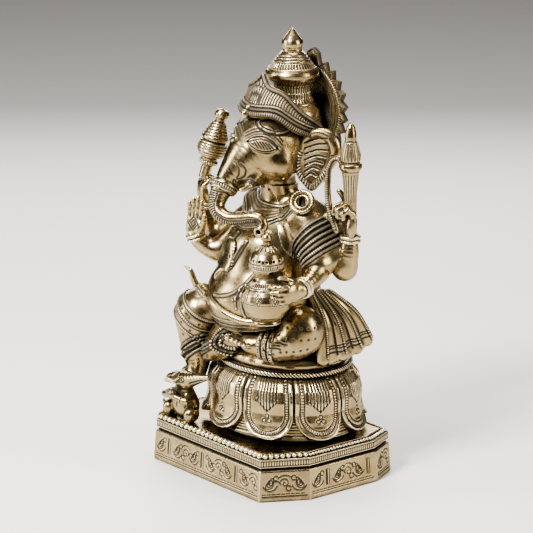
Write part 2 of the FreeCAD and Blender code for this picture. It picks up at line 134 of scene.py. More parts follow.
# ---- forms: (distance function, low corner, high corner) ----------------------------------------------
def bone(a, b, ra, rb):
    """A round bar that tapers from radius ra at a to rb at b."""
    a, b = np.array(a, np.float32), np.array(b, np.float32)
    axis = b - a
    length2 = max(float(axis @ axis), 1e-9)

    def distance(x, y, z):
        px, py, pz = x - a[0], y - a[1], z - a[2]
        t = np.clip((px * axis[0] + py * axis[1] + pz * axis[2]) / length2, 0, 1)
        away = np.sqrt((px - t * axis[0]) ** 2 + (py - t * axis[1]) ** 2 + (pz - t * axis[2]) ** 2)
        return away - (ra + (rb - ra) * t)

    r = max(ra, rb)
    return distance, np.minimum(a, b) - r, np.maximum(a, b) + r


def turn(angles):
    """A rotation matrix from degrees about X, Y and Z, in that order."""
    ax, ay, az = np.radians(angles)
    rx = np.array([[1, 0, 0], [0, math.cos(ax), -math.sin(ax)], [0, math.sin(ax), math.cos(ax)]])
    ry = np.array([[math.cos(ay), 0, math.sin(ay)], [0, 1, 0], [-math.sin(ay), 0, math.cos(ay)]])
    rz = np.array([[math.cos(az), -math.sin(az), 0], [math.sin(az), math.cos(az), 0], [0, 0, 1]])
    return rz @ ry @ rx


def egg(centre, radii, angles=(0, 0, 0), frame_rows=None):
    """An ellipsoid, turned by angles or set in a frame of three row vectors."""
    c = np.array(centre, np.float32)
    r = np.array(radii, np.float32)
    m = (np.array(frame_rows) if frame_rows is not None else turn(angles).T).astype(np.float32)

    def distance(x, y, z):
        px, py, pz = x - c[0], y - c[1], z - c[2]
        q = [m[i, 0] * px + m[i, 1] * py + m[i, 2] * pz for i in range(3)]
        k0 = np.sqrt(sum((q[i] / r[i]) ** 2 for i in range(3)))
        k1 = np.sqrt(sum((q[i] / r[i] ** 2) ** 2 for i in range(3)))
        return k0 * (k0 - 1) / np.maximum(k1, 1e-6)

    half = np.sqrt(((m * r[:, None]) ** 2).sum(0))
    return distance, c - half, c + half


def hoop(centre, normal, radius, tube, squash=1.0):
    """A ring: radius to the tube's middle; squash below 1 flattens the tube along the normal."""
    c, n = np.array(centre, np.float32), np.array(normal, np.float32)
    n = n / np.linalg.norm(n)

    def distance(x, y, z):
        px, py, pz = x - c[0], y - c[1], z - c[2]
        h = px * n[0] + py * n[1] + pz * n[2]
        flat = np.sqrt(np.maximum(px ** 2 + py ** 2 + pz ** 2 - h ** 2, 0))
        return np.sqrt((flat - radius) ** 2 + (h / squash) ** 2) - tube

    reach = radius + tube
    return distance, c - reach, c + reach


class Clay:
    """A block of distance values, negative inside, with a second block that holds the dark patina and painted
    shade.
    """

    def __init__(self, low, high, voxel):
        self.low = np.array(low, np.float32)
        self.voxel = voxel * COARSE
        counts = np.ceil((np.array(high) - np.array(low)) / self.voxel).astype(int) + 1
        self.axes = [self.low[i] + self.voxel * np.arange(counts[i], dtype=np.float32) for i in range(3)]
        self.d = np.full(counts, FAR, np.float32)
        self.ink = np.zeros(counts, np.float32)

    def window(self, low, high, pad):
        """The slices of the block that a box covers, and the coordinates there."""
        spans = []
        for i in range(3):
            a = max(int((low[i] - pad - self.low[i]) / self.voxel), 0)
            b = min(int((high[i] + pad - self.low[i]) / self.voxel) + 2, len(self.axes[i]))
            if a >= b:
                return None, None
            spans.append(slice(a, b))
        x, y, z = (self.axes[i][spans[i]] for i in range(3))
        return tuple(spans), (x[:, None, None], y[None, :, None], z[None, None, :])

    def add(self, *forms, k=0.0):
        """Joins forms, with a fillet of about k."""
        for fn, low, high in forms:
            spans, at = self.window(low, high, k + 2.5)
            if spans is None:
                continue
            old, new = self.d[spans], fn(*at)
            if k > 0:
                h = np.clip(0.5 + 0.5 * (old - new) / k, 0, 1)
                old[...] = old * (1 - h) + new * h - k * h * (1 - h)
            else:
                np.minimum(old, new, out=old)
        return self

    def cut(self, *forms, k=0.6):
        """Takes forms away, with an edge rounded by about k."""
        for fn, low, high in forms:
            spans, at = self.window(low, high, k + 2.5)
            if spans is None:
                continue
            old, new = self.d[spans], -fn(*at)
            h = np.clip(0.5 - 0.5 * (old - new) / k, 0, 1)
            old[...] = old * (1 - h) + new * h + k * h * (1 - h)
        return self

    def sample(self, block, points):
        """Values of a block at points, blended from the eight nearest."""
        q = (np.asarray(points, np.float32) - self.low) / self.voxel
        top = np.array(block.shape) - 2
        i = np.clip(np.floor(q).astype(int), 0, top)
        f = np.clip(q - i, 0, 1)
        total = 0
        for corner in np.ndindex(2, 2, 2):
            share = [f[:, axis] if far else 1 - f[:, axis] for axis, far in enumerate(corner)]
            at = [i[:, axis] + far for axis, far in enumerate(corner)]
            total = total + share[0] * share[1] * share[2] * block[at[0], at[1], at[2]]
        return total

    def slope(self, points):
        """Outward unit normals at points."""
        steps = np.eye(3) * self.voxel
        g = np.stack([self.sample(self.d, points + v) - self.sample(self.d, points - v) for v in steps], 1)
        return g / np.maximum(np.linalg.norm(g, axis=1, keepdims=True), 1e-6)

    def snap(self, points, toward=None):
        """Moves points onto the surface: along its slope, or along toward until they meet it."""
        p = np.array(points, float)
        if toward is not None:
            way = np.array(toward, float) / np.linalg.norm(toward)
            p = p - way * 26
            free = np.ones(len(p), bool)
            for _ in range(110):
                free &= self.sample(self.d, p) > 0
                p[free] += way * 0.6
        for _ in range(9):
            p -= self.slope(p) * np.clip(self.sample(self.d, p), -3, 3)[:, None]
        return p

    def stamp(self, low, high, reach, fn, grow):
        """Changes distance and ink together: fn gives (new distance, new ink) from the old distance."""
        spans, at = self.window(low, high, reach)
        if spans is None:
            return
        old = self.d[spans]
        new, dark = fn(old, at)
        np.maximum(self.ink[spans], dark, out=self.ink[spans])
        old[...] = np.minimum(old, new) if grow else np.maximum(old, new)

    def cord(self, points, r, pitch=None, snapped=False, toward=None):
        """A raised cord on the surface, or beads at a pitch, with a dark line along its foot: patina and
        painted shade in that crease.
        """
        step = pitch or 1.2
        path = smooth_path(points, step)
        if not snapped:
            path = self.snap(path, toward)
        links = [(p, p) for p in path] if pitch else list(zip(path, path[1:]))
        for a, b in links:
            shape = bone(a, b, r, r)

            # dark line round the cord's foot: patina and painted shade in the crease
            def change(old, at, shape=shape):
                new = shape[0](*at)
                return new, np.clip((DARK_FOOT - new) / 0.5, 0, 1) * np.clip(1.2 - old / (0.7 * r), 0, 1)

            self.stamp(shape[1], shape[2], DARK_FOOT + 1, change, True)
        return path

    def groove(self, points, width=1.2, depth=0.6, toward=None, dark=1.0, smooth=True, snapped=False):
        """An engraved line with patina in it."""
        path = smooth_path(points, 1.0) if smooth else np.asarray(points, float)
        if not snapped:
            path = self.snap(path, toward)
        r = width / 2 + 0.15
        path = path + self.slope(path) * (r - depth)
        for a, b in zip(path, path[1:]):
            shape = bone(a, b, r, r)

            def change(old, at, shape=shape):
                new = shape[0](*at)
                return -new, dark * np.clip(1 - new / 0.7, 0, 1) * (new < 0.7)

            self.stamp(shape[1], shape[2], 1.5, change, False)
        return path

    def hem(self, upper, lower, r=1.1, pitch=2.6, toward=None):
        """A stitched band: two cords with short engraved stitches between them."""
        a = self.cord(upper, r, toward=toward)
        b = self.cord(lower, r, toward=toward)
        count = max(2, int(np.linalg.norm(np.diff(a, axis=0), axis=1).sum() / pitch))
        for f in np.linspace(0.02, 0.98, count):
            p, q = a[int(f * (len(a) - 1))], b[int(f * (len(b) - 1))]
            self.groove([p + (q - p) * 0.28, p + (q - p) * 0.72], 1.1, 0.6)

    def dots(self, points, r=0.9, toward=None, dark=1.0):
        """Punched dots."""
        for p in self.snap(np.asarray(points, float), toward):
            self.groove([p, p + 1e-3], 2 * r, r * 0.8, dark=dark, smooth=False, snapped=True)

    def shade(self, centre, radii, frame_rows=None, dark=1.0):
        """Painted shade that fades out from the middle of an ellipsoid."""
        fn, low, high = egg(centre, radii, frame_rows=frame_rows)
        spans, at = self.window(low, high, 0)
        fade = dark * np.clip(-fn(*at) / (0.6 * min(radii)), 0, 1)
        np.maximum(self.ink[spans], fade, out=self.ink[spans])

    def mesh(self, name, nodes, slot="antique_brass"):
        """The surface as a Blender piece."""
        grid = openvdb.FloatGrid(FAR)
        grid.copyFromArray(np.clip(self.d, -FAR, FAR))
        points, quads = grid.convertToQuads(0.0)
        points = self.low + points * self.voxel
        quads = quads.astype(np.int64)
        points, quads = keep_big_parts(points, quads)
        points = points - self.slope(points) * self.sample(self.d, points)[:, None] * 0.9
        corner = points[quads]
        normal = np.cross(corner[:, 2] - corner[:, 0], corner[:, 3] - corner[:, 1])
        if (normal * self.slope(corner.mean(1))).sum() < 0:
            quads = quads[:, ::-1]
        ink = self.sample(self.ink, points)
        return make_piece(name, points, quads, ink, nodes, slot=slot)


def keep_big_parts(points, quads):
    """Drops loose crumbs smaller than 200 faces that engraving may leave."""
    label = np.arange(len(points))
    edges = np.vstack([quads[:, [0, 1]], quads[:, [1, 2]], quads[:, [2, 3]]])
    while True:
        low = np.minimum(label[edges[:, 0]], label[edges[:, 1]])
        before = label.copy()
        np.minimum.at(label, edges[:, 0], low)
        np.minimum.at(label, edges[:, 1], low)
        label = label[label]
        label = label[label]
        if (label == before).all():
            break
    owner = label[quads[:, 0]]
    names, counts = np.unique(owner, return_counts=True)
    quads = quads[np.isin(owner, names[counts > 200])]
    used = np.unique(quads)
    renumber = np.full(len(points), -1)
    renumber[used] = np.arange(len(used))
    return points[used], renumber[quads]


def chain(sections, step=4.0):
    """A form through (x, y, z, radius), tapering smoothly from one to the next."""
    path = smooth_path(sections, step)
    links = [bone(a[:3], b[:3], a[3], b[3]) for a, b in zip(path, path[1:])]

    def distance(x, y, z):
        best = np.full(np.broadcast(x, y, z).shape, 60.0, np.float32)
        for fn, low, high in links:
            cut = []
            for v, a, b in zip((x, y, z), low - 16, high + 16):
                inside = np.where((v.ravel() >= a) & (v.ravel() <= b))[0]
                cut.append(slice(inside[0], inside[-1] + 1) if len(inside) else slice(0, 0))
            near = tuple(cut)
            part = best[near]
            if part.size:
                np.minimum(part, fn(x[near[0]], y[:, near[1]], z[:, :, near[2]]), out=part)
        return best

    return distance, np.min([l[1] for l in links], 0), np.max([l[2] for l in links], 0)


def limb(clay, sections, k=3.0):
    """Joins a smooth tapering limb through (x, y, z, radius), with a fillet of about k."""
    clay.add(chain(sections), k=k)


# ---- swept grids --------------------------------------------------------------------------------------
def grid_piece(name, rows, ink, nodes, caps=(True, True), slot="antique_brass"):
    """A closed sleeve from an array (row, column, 3), capped at its first and last rows."""
    n, m = rows.shape[:2]
    points = rows.reshape(-1, 3)
    index = np.arange(n * m).reshape(n, m)
    right = np.roll(index, -1, 1)
    quads = np.stack([index[:-1], right[:-1], right[1:], index[1:]], -1).reshape(-1, 4)
    tris, extra, extra_ink = [], [], []
    for cap, row in zip(caps, (0, n - 1)):
        if cap:
            hub = len(points) + len(extra)
            extra.append(rows[row].mean(0))
            extra_ink.append(ink[row].mean())
            a, b = index[row], np.roll(index[row], -1)
            tris.append(np.stack([b, a, np.full(m, hub)] if row == 0 else [a, b, np.full(m, hub)], -1))
    if extra:
        points = np.vstack([points, extra])
    ink = np.concatenate([ink.ravel(), extra_ink])
    return make_piece(name, points, quads, ink, nodes, tris=np.vstack(tris) if tris else None, slot=slot)


def even_profile(profile, step, round_off=0.8):
    """A profile's (radius, height) points at even spacing, with its corners eased."""
    p = np.array(profile, float)
    seg = np.linalg.norm(np.diff(p, axis=0), axis=1)
    run = np.concatenate([[0], np.cumsum(seg)])
    n = int(run[-1] / step) + 1
    at = np.linspace(0, run[-1], n)
    r, z = np.interp(at, run, p[:, 0]), np.interp(at, run, p[:, 1])
    k = max(1, int(round(round_off / step)))
    kernel = np.hanning(2 * k + 3)[1:-1]
    kernel /= kernel.sum()
    pad = len(kernel) // 2
    ease = lambda v: np.convolve(np.pad(v, pad, mode="reflect", reflect_type="odd"), kernel, "valid")
    return ease(r), ease(z), at


def turned(name, profile, centre, nodes, relief=None, wide=1.0, step=0.5, round_off=0.7, slot="antique_brass",
           turns=None, lean=None, level=False):
    """A turned part about a vertical axis. relief(angle, run, r, z) gives (outward shift, ink) in mm.
    lean is a pivot and the direction that the axis leans to; level keeps the shift at its own height."""
    step = step * COARSE
    r, z, run = even_profile(profile, step, round_off)
    m = turns or max(48, int(TURN * r.max() / step))
    angle = np.linspace(0, TURN, m, endpoint=False)[None, :]
    r, z, run = np.maximum(r, 0.02)[:, None], z[:, None], run[:, None]
    shift, ink = relief(angle, run, r, z) if relief else (0, 0)
    shift = shift * np.clip(r / 2, 0, 1)
    shift, ink = (np.broadcast_to(v, (r.size, m)) for v in (shift, ink))
    slope_r, slope_z = np.gradient(r[:, 0]), np.gradient(z[:, 0])
    size = np.maximum(np.hypot(slope_r, slope_z), 1e-9)
    out_r, out_z = (slope_z / size)[:, None], (-slope_r / size)[:, None]
    if level:
        out_r, out_z = np.ones_like(out_r), np.zeros_like(out_z)
    radius = np.maximum(r + shift * out_r, 0.01)
    x = centre[0] + wide * radius * np.cos(angle)
    y = centre[1] + radius * np.sin(angle)
    h = np.broadcast_to(z + shift * out_z, x.shape)
    rows = np.stack([x, y, h], -1)
    if lean is not None:
        pivot, axis = lean
        axis = np.array(axis) / np.linalg.norm(axis)
        sideways = np.cross(axis, (0, 0, 1))
        sideways /= np.linalg.norm(sideways)
        east = np.cross(sideways, axis)
        flat = np.cross(sideways, (0, 0, 1))
        local = rows - pivot
        rows = (pivot + (local @ sideways)[..., None] * sideways + (local @ flat)[..., None] * east
                + local[..., 2:] * axis)
    return grid_piece(name, rows, ink, nodes, slot=slot)


def lines(v, pitch, width):
    """1 on engraved lines every pitch, 0 between them."""
    u = np.abs((v / pitch + 0.5) % 1 - 0.5) * pitch
    return np.clip((width / 2 - u) / 0.25 + 0.5, 0, 1)


def band(v, low, high, soft=0.3):
    """1 between low and high, with soft ends."""
    return np.clip((v - low) / soft + 0.5, 0, 1) * np.clip((high - v) / soft + 0.5, 0, 1)


def line_at(v, at, width=0.8):
    """1 on a single engraved line."""
    return band(v, at - width / 2, at + width / 2)


def rings_at(z, *rings):
    """1 on engraved rings, each (height, width)."""
    return sum(line_at(z, at, width) for at, width in rings)


def engraved(mark, depth=0.5):
    """The (shift, ink) pair of a turned part for marks cut to a depth."""
    mark = np.clip(mark, 0, 1)
    return -depth * mark, 0.9 * mark


def wave_of(angle, count):
    """How far each angle lies from the middle of its own one of count equal sectors, 0 to 0.5."""
    return np.abs((angle * count / TURN) % 1 - 0.5)


# ---- material -----------------------------------------------------------------------------------------
def brass_material():
    """Polished brass with a dark brown patina in engraved lines and crevices, and painted shade from ambient
    occlusion in crevices and hollows; convex edges are rubbed pale and painted as highlights.
    """
    mat = bpy.data.materials.new("antique_brass")
    mat.use_nodes = True
    nt = mat.node_tree
    nt.nodes.clear()

    def node(kind, **values):
        n = nt.nodes.new(kind)
        for key, value in values.items():
            if hasattr(n, key):
                setattr(n, key, value)
            else:
                n.inputs[key].default_value = value
        return n

    def link(a, b):
        nt.links.new(a, b)

    def math_node(op, a, b=None, clamp=False):
        n = nt.nodes.new("ShaderNodeMath")
        n.operation = op
        n.use_clamp = clamp
        for socket, value in zip(n.inputs, (a, b)):
            if value is None:
                continue
            if isinstance(value, (int, float)):
                socket.default_value = value
            else:
                link(value, socket)
        return n.outputs[0]

    def remap(value, low, high):
        n = nt.nodes.new("ShaderNodeMapRange")
        n.interpolation_type = "SMOOTHSTEP"
        link(value, n.inputs["Value"])
        n.inputs["From Min"].default_value = low
        n.inputs["From Max"].default_value = high
        return n.outputs[0]

    coords = node("ShaderNodeTexCoord").outputs["Object"]

    def noise(scale, detail, rough=0.5):
        n = node("ShaderNodeTexNoise")
        n.inputs["Scale"].default_value = scale
        n.inputs["Detail"].default_value = detail
        n.inputs["Roughness"].default_value = rough
        link(coords, n.inputs["Vector"])
        return n.outputs["Fac"]

    ink = node("ShaderNodeAttribute", attribute_name="ink").outputs["Fac"]
    # painted shade: ambient occlusion darkens crevices and the places where pieces meet
    occlusion = node("ShaderNodeAmbientOcclusion", samples=8)
    occlusion.inputs["Distance"].default_value = 0.012
    crevice = math_node("SUBTRACT", 1.0, occlusion.outputs["AO"])
    pointed = node("ShaderNodeNewGeometry").outputs["Pointiness"]
    cloud = noise(45, 4)
    grit = noise(420, 3, 0.6)
    streak = noise(160, 5, 0.65)

    # streaky tarnish, plus painted shade from ambient occlusion
    streaks_and_painted_shade = math_node("ADD", crevice, math_node("MULTIPLY", math_node("SUBTRACT", streak, 0.5), 0.30))
    streaks_and_painted_shade = remap(streaks_and_painted_shade, 0.30, 0.62)
    # concave spots darkened: patina there, plus painted shade
    hollow = remap(pointed, 0.496, 0.455)
    dark = math_node("MAXIMUM", streaks_and_painted_shade, math_node("MULTIPLY", hollow, 0.8))
    dark = math_node("MAXIMUM", dark, ink)
    dark = math_node("ADD", dark, math_node("MINIMUM", ink, 0.0), clamp=True)
    # convex edges: rubbed wear that clears the patina, and a painted highlight in a pale colour
    edge_wear_and_highlight = remap(pointed, 0.508, 0.56)
    dark = math_node("MULTIPLY", dark, math_node("SUBTRACT", 1.0, math_node("MULTIPLY", edge_wear_and_highlight, 0.8)),
                     clamp=True)

    def colour_mix(fac, a, b):
        n = nt.nodes.new("ShaderNodeMix")
        n.data_type = "RGBA"
        if isinstance(fac, (int, float)):
            n.inputs[0].default_value = fac
        else:
            link(fac, n.inputs[0])
        for socket, value in zip((n.inputs[6], n.inputs[7]), (a, b)):
            if isinstance(value, tuple):
                socket.default_value = (*value, 1)
            else:
                link(value, socket)
        return n.outputs[2]

    clean = colour_mix(remap(cloud, 0.3, 0.7), (0.35, 0.265, 0.14), (0.46, 0.37, 0.22))
    # painted highlight and rubbed wear: convex edges turn pale
    clean = colour_mix(edge_wear_and_highlight, clean, (0.88, 0.79, 0.58))
    clean = colour_mix(math_node("MULTIPLY", remap(grit, 0.60, 0.78), 0.4), clean, (0.22, 0.15, 0.07))
    colour = colour_mix(dark, clean, (0.016, 0.012, 0.008))

    rough = math_node("ADD", 0.23, math_node("MULTIPLY", remap(streak, 0.3, 0.8), 0.13))
    rough = math_node("ADD", rough, math_node("MULTIPLY", dark, 0.42), clamp=True)
    metal = math_node("SUBTRACT", 1.0, math_node("MULTIPLY", dark, 0.75))

    relief = math_node("ADD", math_node("MULTIPLY", noise(220, 2), 0.7), math_node("MULTIPLY", grit, 0.3))
    bump = node("ShaderNodeBump", Strength=0.14, Distance=0.0006)
    link(relief, bump.inputs["Height"])

    shader = node("ShaderNodeBsdfPrincipled")
    link(colour, shader.inputs["Base Color"])
    link(rough, shader.inputs["Roughness"])
    link(metal, shader.inputs["Metallic"])
    link(bump.outputs[0], shader.inputs["Normal"])
    out = node("ShaderNodeOutputMaterial")
    link(shader.outputs[0], out.inputs["Surface"])
    return mat


def plain_material(name, colour, rough, metallic=0.0):
    """One even colour, for the floor and the hidden fixings."""
    mat = bpy.data.materials.new(name)
    mat.use_nodes = True
    shader = mat.node_tree.nodes["Principled BSDF"]
    shader.inputs["Base Color"].default_value = (*colour, 1)
    shader.inputs["Metallic"].default_value = metallic
    shader.inputs["Roughness"].default_value = rough
    return mat


MATERIALS = {
    "antique_brass": brass_material(),
    "fixing_brass": plain_material("fixing_brass", (0.60, 0.46, 0.22), 0.32, 1.0),
    "fixing_steel": plain_material("fixing_steel", (0.52, 0.53, 0.54), 0.38, 1.0),
}


# ---- plinth -------------------------------------------------------------------------------------------
ORIGIN = -SEAT / MM                     # the CAD origin, in seat millimetres
HALF_X, HALF_Y = (span("plinth")[1] - span("plinth")[0])[:2] / 2
FRONT_CUT, REAR_CUT = (22.0, 39.0), (14.0, 28.0)


def plinth_corners(inset):
    """The octagon's corners at an inset, anticlockwise from the front left, from the plinth's middle."""
    hx, hy = HALF_X - inset, HALF_Y - inset
    (fx, fy), (rx, ry) = FRONT_CUT, REAR_CUT
    trim = inset * 0.6
    return np.array([(-hx + fx - trim, -hy), (hx - fx + trim, -hy), (hx, -hy + fy - trim),
                     (hx, hy - ry + trim), (hx - rx + trim, hy), (-hx + rx - trim, hy),
                     (-hx, hy - ry + trim), (-hx, -hy + fy - trim)])


def etch(s, z, strokes, width):
    """Ink and depth on a flat face, from strokes given as (along, up) polylines in mm."""
    near = np.full(np.broadcast(s, z).shape, 9.0)
    for stroke in strokes:
        for (s0, z0), (s1, z1) in zip(stroke, stroke[1:]):
            cols = np.where((s[0] > min(s0, s1) - 2) & (s[0] < max(s0, s1) + 2))[0]
            if not len(cols):
                continue
            cut = slice(cols[0], cols[-1] + 1)
            ds, dz = s1 - s0, z1 - z0
            t = np.clip(((s[:, cut] - s0) * ds + (z - z0) * dz) / max(ds * ds + dz * dz, 1e-9), 0, 1)
            far = np.hypot(s[:, cut] - s0 - t * ds, z - z0 - t * dz)
            near[:, cut] = np.minimum(near[:, cut], far)
    return np.clip((width / 2 - near) / 0.35 + 0.5, 0, 1)


def arc(cs, cz, r, start, end, squash=1.0, n=14):
    """An arc of a circle as a polyline, in degrees."""
    a = np.radians(np.linspace(start, end, n))
    return [(cs + r * math.cos(t), cz + squash * r * math.sin(t)) for t in a]


def teardrop(cs, cz, size, way):
    """A leaf of two nested, leaning teardrops with a curl."""
    out = []
    for scale in (1.0, 0.62):
        points = []
        for t in np.linspace(0, TURN, 22):
            x = math.sin(t) * (0.55 + 0.25 * math.cos(t)) * size * scale
            y = -math.cos(t) * size * scale * 0.95
            points.append((cs + way * (x + 0.35 * y), cz + y * 0.92))
        out.append(points)
    out.append([(cs + way * size * 0.3 * t * math.cos(5 * t), cz + size * 0.3 * t * math.sin(5 * t))
                for t in np.linspace(0.15, 1.0, 12)])
    return out


def scroll(cs, cz, size, way):
    """A curling tendril."""
    curl = [(cs + way * size * (1 - t) * math.cos(9 * t), cz + size * (1 - t) * math.sin(9 * t))
            for t in np.linspace(0, 0.9, 26)]
    return [curl, arc(cs + way * size * 1.6, cz - size * 0.5, size * 0.9, 20, 170)]


def foliage(length):
    """The engraved strokes of one plinth face: leaves, tendrils, bars, and a dashed line under them."""
    strokes = []
    half = length / 2 - 3
    mid = 16.0
    count = max(1, int(length / 11.5))
    for i in range(count):
        s = -half + (i + 0.5) * 2 * half / count
        way = 1 if s < 0 else -1
        if i % 4 == 1 and count > 4:
            for j in (-1.8, -0.6, 1.4):
                strokes.append([(s + j, 9.5), (s + j, 23.0)])
        elif i % 2 == 0:
            strokes += teardrop(s, mid, 5.4, way)
            strokes += [arc(s, mid, 6.6, 200, 340), arc(s + way * 5, mid + 4.5, 2.0, 0, 300)]
        else:
            strokes += scroll(s, mid, 4.6, way)
            strokes += [arc(s - way * 3.5, mid - 4.5, 2.2, 30, 330), arc(s, mid + 1, 6.8, 30, 150, 0.9)]
    for i in range(int(2 * half / 4.2)):
        s = -half + i * 4.2
        strokes.append([(s, 6.4), (s + 2.6, 6.4)])
    strokes.append([(-half, 4.6), (half, 4.6)])
    return strokes


def build_plinth():
    """Hollow octagonal plinth with engraved faces, a hatched frieze and a stepped top."""
    profile = [(11.0, 34.0), (11.0, 0.6), (10.4, 0.0), (0.8, 0.0), (0.0, 0.8), (1.9, 26.2), (2.6, 27.0),
               (5.0, 27.4), (5.0, 29.3), (2.7, 29.6), (2.3, 30.4), (2.3, 36.2), (2.8, 37.0), (3.4, 37.2),
               (8.8, 37.2), (9.2, 37.8), (9.4, 39.6), (10.2, 40.0), (22.0, 40.0)]
    inset, z, run = even_profile(profile, 0.5 * COARSE, 0.5)
    base = plinth_corners(0.0)
    columns, inks = [], []
    for i in range(8):
        a, b = base[i], base[(i + 1) % 8]
        length = float(np.linalg.norm(b - a))
        n = int(length / (0.55 * COARSE))
        f = (np.arange(n) / n)[None, :]
        s = (f - 0.5) * length
        ends = np.stack([plinth_corners(v)[[i, (i + 1) % 8]] for v in inset])
        xy = ends[:, None, 0] * (1 - f[..., None]) + ends[:, None, 1] * f[..., None]
        outward = np.array([(b - a)[1], -(b - a)[0]]) / length
        zz, deep = z[:, None], inset[:, None]
        wall = (deep < 2.4) & (zz > 1.5) & (zz < 26)
        mark = etch(s, zz, foliage(length), 1.0) * wall
        frieze = band(zz, 30.6, 36.0) * (deep < 2.8) * (run[:, None] > 60)
        hatch = lines(s, 2.4, 1.0) * band(zz, 31.4, 35.4) + rings_at(zz, (31.0, 0.9), (35.8, 0.9))
        hatch = frieze * hatch
        # painted shade: dark ink in the recessed groove, and on the ledge and riser under the top between the
        # beads
        groove = band(zz, 27.2, 29.5) * (deep > 3.0) * (deep < 6)
        groove = groove + band(deep, 3.4, 9.4) * (zz > 36.5) * (zz < 39.4)
        depth = 0.55 * mark + 0.5 * np.clip(hatch, 0, 1)
        polished = (deep > 9.8) * (zz > 39.0)
        ink = np.clip(0.95 * mark + 0.85 * hatch + groove, 0, 1) - polished
        heights = np.broadcast_to(zz, depth.shape)[..., None]
        columns.append(np.concatenate([xy - outward * depth[..., None], heights], -1))
        inks.append(ink)
    rows = np.concatenate(columns, 1) + ORIGIN
    grid_piece("plinth_casting", rows, np.concatenate(inks, 1), ["plinth"])


def ball_mesh(radius, squash=1.0):
    """Vertices and faces of a small round bead."""
    points = [(0, 0, radius * squash)]
    n, m = 5, 10
    for i in range(1, n):
        a = math.pi * i / n
        for j in range(m):
            b = TURN * j / m
            points.append((radius * math.sin(a) * math.cos(b), radius * math.sin(a) * math.sin(b),
                           radius * squash * math.cos(a)))
    points.append((0, 0, -radius * squash))
    quads = [(1 + i * m + j, 1 + (i + 1) * m + j, 1 + (i + 1) * m + (j + 1) % m, 1 + i * m + (j + 1) % m)
             for i in range(n - 2) for j in range(m)]
    last = len(points) - 1
    tris = [(0, 1 + j, 1 + (j + 1) % m) for j in range(m)]
    tris += [(last, last - m + (j + 1) % m, last - m + j) for j in range(m)]
    return np.array(points), np.array(quads), np.array(tris)


def build_bead_border():
    """Round beads along the plinth's top edge: large on the front faces, fine at the sides and back."""
    corners = plinth_corners(5.6)
    points, quads, tris = [], [], []
    total = 0
    for i in range(8):
        a, b = corners[i], corners[(i + 1) % 8]
        r = {0: 2.9, 1: 2.3, 7: 2.3}.get(i, 1.6)
        length = float(np.linalg.norm(b - a))
        n = max(1, int(round(length / (2.1 * r))))
        p, q, t = ball_mesh(r, 0.95)
        for j in range(n):
            c = a + (b - a) * (j + 0.5) / n
            points.append(p + np.array([c[0], c[1], 37.6 + r * 0.62]))
            quads.append(q + total)
            tris.append(t + total)
            total += len(p)
    points = np.vstack(points) + ORIGIN
    make_piece("bead_border_cast", points, np.vstack(quads), np.zeros(len(points)), ["bead_border"],
               tris=np.vstack(tris))


# ---- lotus and seat -----------------------------------------------------------------------------------
OVAL = 1.20
PETALS = 9
PETAL_TURN = math.radians(-97.4)


def lotus_relief(angle, run, r, z):
    """Nine hanging petals that flare at the tip, with raised rims, stitched borders and combed fields."""
    outer = np.interp(z, [-69.5, -68.3, -66.5, -63.5, -56, -46, -36, -26, -20, -16],
                      [65.6, 66.6, 67.4, 67.2, 63.4, 61.6, 62.0, 59.8, 55.8, 50.5])
    pitch = TURN / PETALS
    k = np.round((angle - PETAL_TURN) / pitch)
    off = angle - PETAL_TURN - k * pitch
    facing = k * pitch + PETAL_TURN
    local = 62.5 * np.sqrt((OVAL * np.sin(facing)) ** 2 + np.cos(facing) ** 2)
    s = off * local * (r / 56) ** 0.3
    half = 0.492 * pitch * local * np.interp(z, [-66, -46, -30, -15], [1.0, 1.0, 0.99, 0.93])
    knee, tip = -45.0, -67.6
    drop = np.clip(knee - z, 0, None) * half / (knee - tip)
    edge = np.where(z < knee, np.hypot(s, drop) - half, np.abs(s) - half)
    petal = np.clip(0.5 - edge / 0.7, 0, 1) * band(z, -69.5, -15.5)
    swell = 1.6 * np.clip(1 - (s / np.maximum(half, 1)) ** 2, 0, 1) * band(z, -60, -20, 16)
    lift = petal * (outer - r + swell - 0.8)
    rim = np.clip(1 - np.abs(edge + 1.9) / 1.9, 0, 1) ** 0.6 * petal
    line1 = line_at(edge, -4.4, 1.2) * petal
    line2 = line_at(edge, -8.0, 1.0) * petal
    along = np.where(z < knee, np.arctan2(drop, np.abs(s) + 1e-6) * half, -(z - knee))
    stitch = lines(along, 2.4, 1.0) * band(edge, -7.4, -5.2) * petal
    field = band(edge, -60, -9.4) * petal
    v_end = -42.5 + 0.95 * np.abs(s)
    rays = lines(s, 2.9, 1.15) * band(np.abs(s), -1, 10.6) * band(z - v_end, 0, 60) * field
    dot_s = s - 2.9 * np.round(s / 2.9)
    dots = np.clip((1.25 - np.hypot(dot_s, z - v_end + 0.8)) / 0.3 + 0.5, 0, 1) * band(np.abs(s), -1, 10.6)
    trefoil = 0
    for cs, cz in ((0, -47.6), (-2.3, -51.4), (2.3, -51.4)):
        trefoil = np.maximum(trefoil, line_at(np.hypot(s - cs, z - cz), 1.7, 1.0))
    marks = np.clip(line1 + line2 + stitch + rays + (dots + trefoil) * petal * (edge < -8.6), 0, 1)
    side = pitch * local / 2 - np.abs(s)
    small = np.clip(0.5 - (side - np.clip(-44 - z, 0, 24) * 0.50) / 0.8, 0, 1)
    small = small * band(z, -68.5, -44) * (1 - petal)
    hatch = small * lines(z, 2.6, 1.1)
    # painted shade: dark ink on the sunken body between the petals
    gap = (1 - petal) * (1 - small) * band(z, -52, -16)
    step_out = np.interp(z, [-68, -60, -44], [8.0, 6.5, 2.5])
    shift = lift + 0.9 * rim - 0.7 * marks + step_out * small - 0.5 * hatch
    worn_lip = petal * band(z, -70, -66.8)
    return shift, np.clip(marks + gap + 0.9 * hatch, 0, 1) * (1 - 0.8 * worn_lip)


